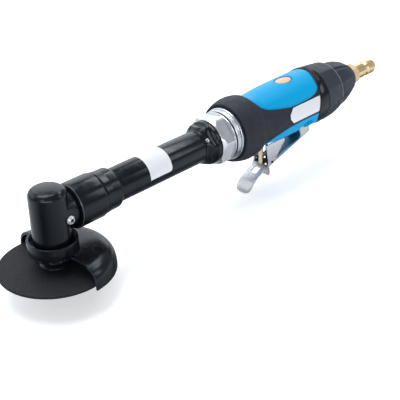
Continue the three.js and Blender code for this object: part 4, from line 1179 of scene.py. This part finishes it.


# for glossy rays the floor is an emission: painted reflections, bright behind the tool, paler in front to the right of
# the head, fading out under the tool
_u = _math("SUBTRACT", _math("MULTIPLY", sep.outputs["X"], 0.6), _math("MULTIPLY", sep.outputs["Y"], 0.8))
_front = _math("MULTIPLY", _step(_u, -0.14, 0.1, 0.0, 1.05, "LINEAR"), _step(sep.outputs["Y"], -0.075, -0.015, 1.0, 0.0))
nt.links.new(_math("ADD", grad.outputs[0], _front), dim.inputs["Strength"])
dim.inputs["Color"].default_value = (0.9, 0.95, 1.0, 1)
lp = nt.nodes.new("ShaderNodeLightPath")
mxs = nt.nodes.new("ShaderNodeMixShader")
nt.links.new(lp.outputs["Is Glossy Ray"], mxs.inputs[0])
nt.links.new(bs.outputs[0], mxs.inputs[1])
nt.links.new(dim.outputs[0], mxs.inputs[2])
nt.links.new(mxs.outputs[0], nt.nodes["Material Output"].inputs["Surface"])
fl = bpy.data.meshes.new("floor")
S = 6.0
fl.from_pydata([(-S, -S, -0.0003), (S, -S, -0.0003), (S, S, -0.0003), (-S, S, -0.0003)], [], [(0, 1, 2, 3)])
floor = bpy.data.objects.new("floor", fl)
fl.materials.append(fm)
bpy.context.scene.collection.objects.link(floor)

world = bpy.data.worlds.new("studio")
bpy.context.scene.world = world
world.use_nodes = True
bg = world.node_tree.nodes["Background"]
bg.inputs[0].default_value = (0.84, 0.90, 1.0, 1)
bg.inputs[1].default_value = 0.3


def area(name, loc, target, size, power, color=(1, 1, 1), size_y=None):
    d = bpy.data.lights.new(name, "AREA")
    d.energy = power
    d.color = color
    d.shape = "RECTANGLE"
    d.size = size
    d.size_y = size_y or size
    o = bpy.data.objects.new(name, d)
    o.location = loc
    o.rotation_euler = (Vector(target) - Vector(loc)).to_track_quat("-Z", "Y").to_euler()
    bpy.context.scene.collection.objects.link(o)
    return o


area("key_top", (-0.1, 0.3, 1.12), (0, 0, 0.03), 1.0, 10.0, (1, 1, 1), 0.7)
area("soft_back", (-0.55, 1.15, 0.75), (0, 0, 0.05), 1.5, 6.0, (0.93, 0.97, 1.0), 0.9)
area("strip_high", (0.75, 0.1, 1.0), (0, 0, 0.05), 0.9, 3.0, (0.95, 0.98, 1.0), 0.14)
area("back_wall", (1.05, 1.25, 0.72), (0, 0, 0.05), 1.7, 9.0, (0.9, 0.95, 1.0), 1.1)
area("fill_left", (-1.0, -0.35, 0.45), (-0.1, 0, 0.05), 0.3, 1.6, (0.95, 0.97, 1.0), 0.8)
area("strip_front", (-0.85, -0.85, 0.3), (-0.1, 0, 0.06), 1.1, 3.4, (1.0, 1.0, 1.0), 0.12)
area("fill_right", (0.75, -0.8, 0.6), (0.05, 0, 0.05), 0.25, 1.2, (1.0, 0.99, 0.98), 0.5)

AZ, EL, ROLL, FPX, TX, TY, TZ = -44.324, 28.873, -2.073, 1006.804, -93.726, -9.686, 627.177
az, el, ro = math.radians(AZ), math.radians(EL), math.radians(ROLL)
back = np.array([math.sin(az) * math.cos(el), -math.cos(az) * math.cos(el), math.sin(el)])
rgt = np.array([math.cos(az), math.sin(az), 0.0])
up = np.cross(back, rgt)
r2 = math.cos(ro) * rgt + math.sin(ro) * up
u2 = -math.sin(ro) * rgt + math.cos(ro) * up
centre = to_world(-TX * r2 - TY * u2 + TZ * back)
cd = bpy.data.cameras.new("camera")
cd.sensor_width = 36.0
cd.lens = FPX / 400 * 36.0
cd.clip_start, cd.clip_end = 0.02, 50
cam = bpy.data.objects.new("camera", cd)
mw = Matrix.Identity(4)
for i, v in enumerate((r2, u2, back)):
    for j in range(3):
        mw[j][i] = v[j]
for j in range(3):
    mw[j][3] = centre[j]
cam.matrix_world = mw
bpy.context.scene.collection.objects.link(cam)
bpy.context.scene.camera = cam
vs = bpy.context.scene.view_settings
vs.view_transform = "Standard"
vs.look = "None"
vs.exposure = 0.0
vs.gamma = 1.0
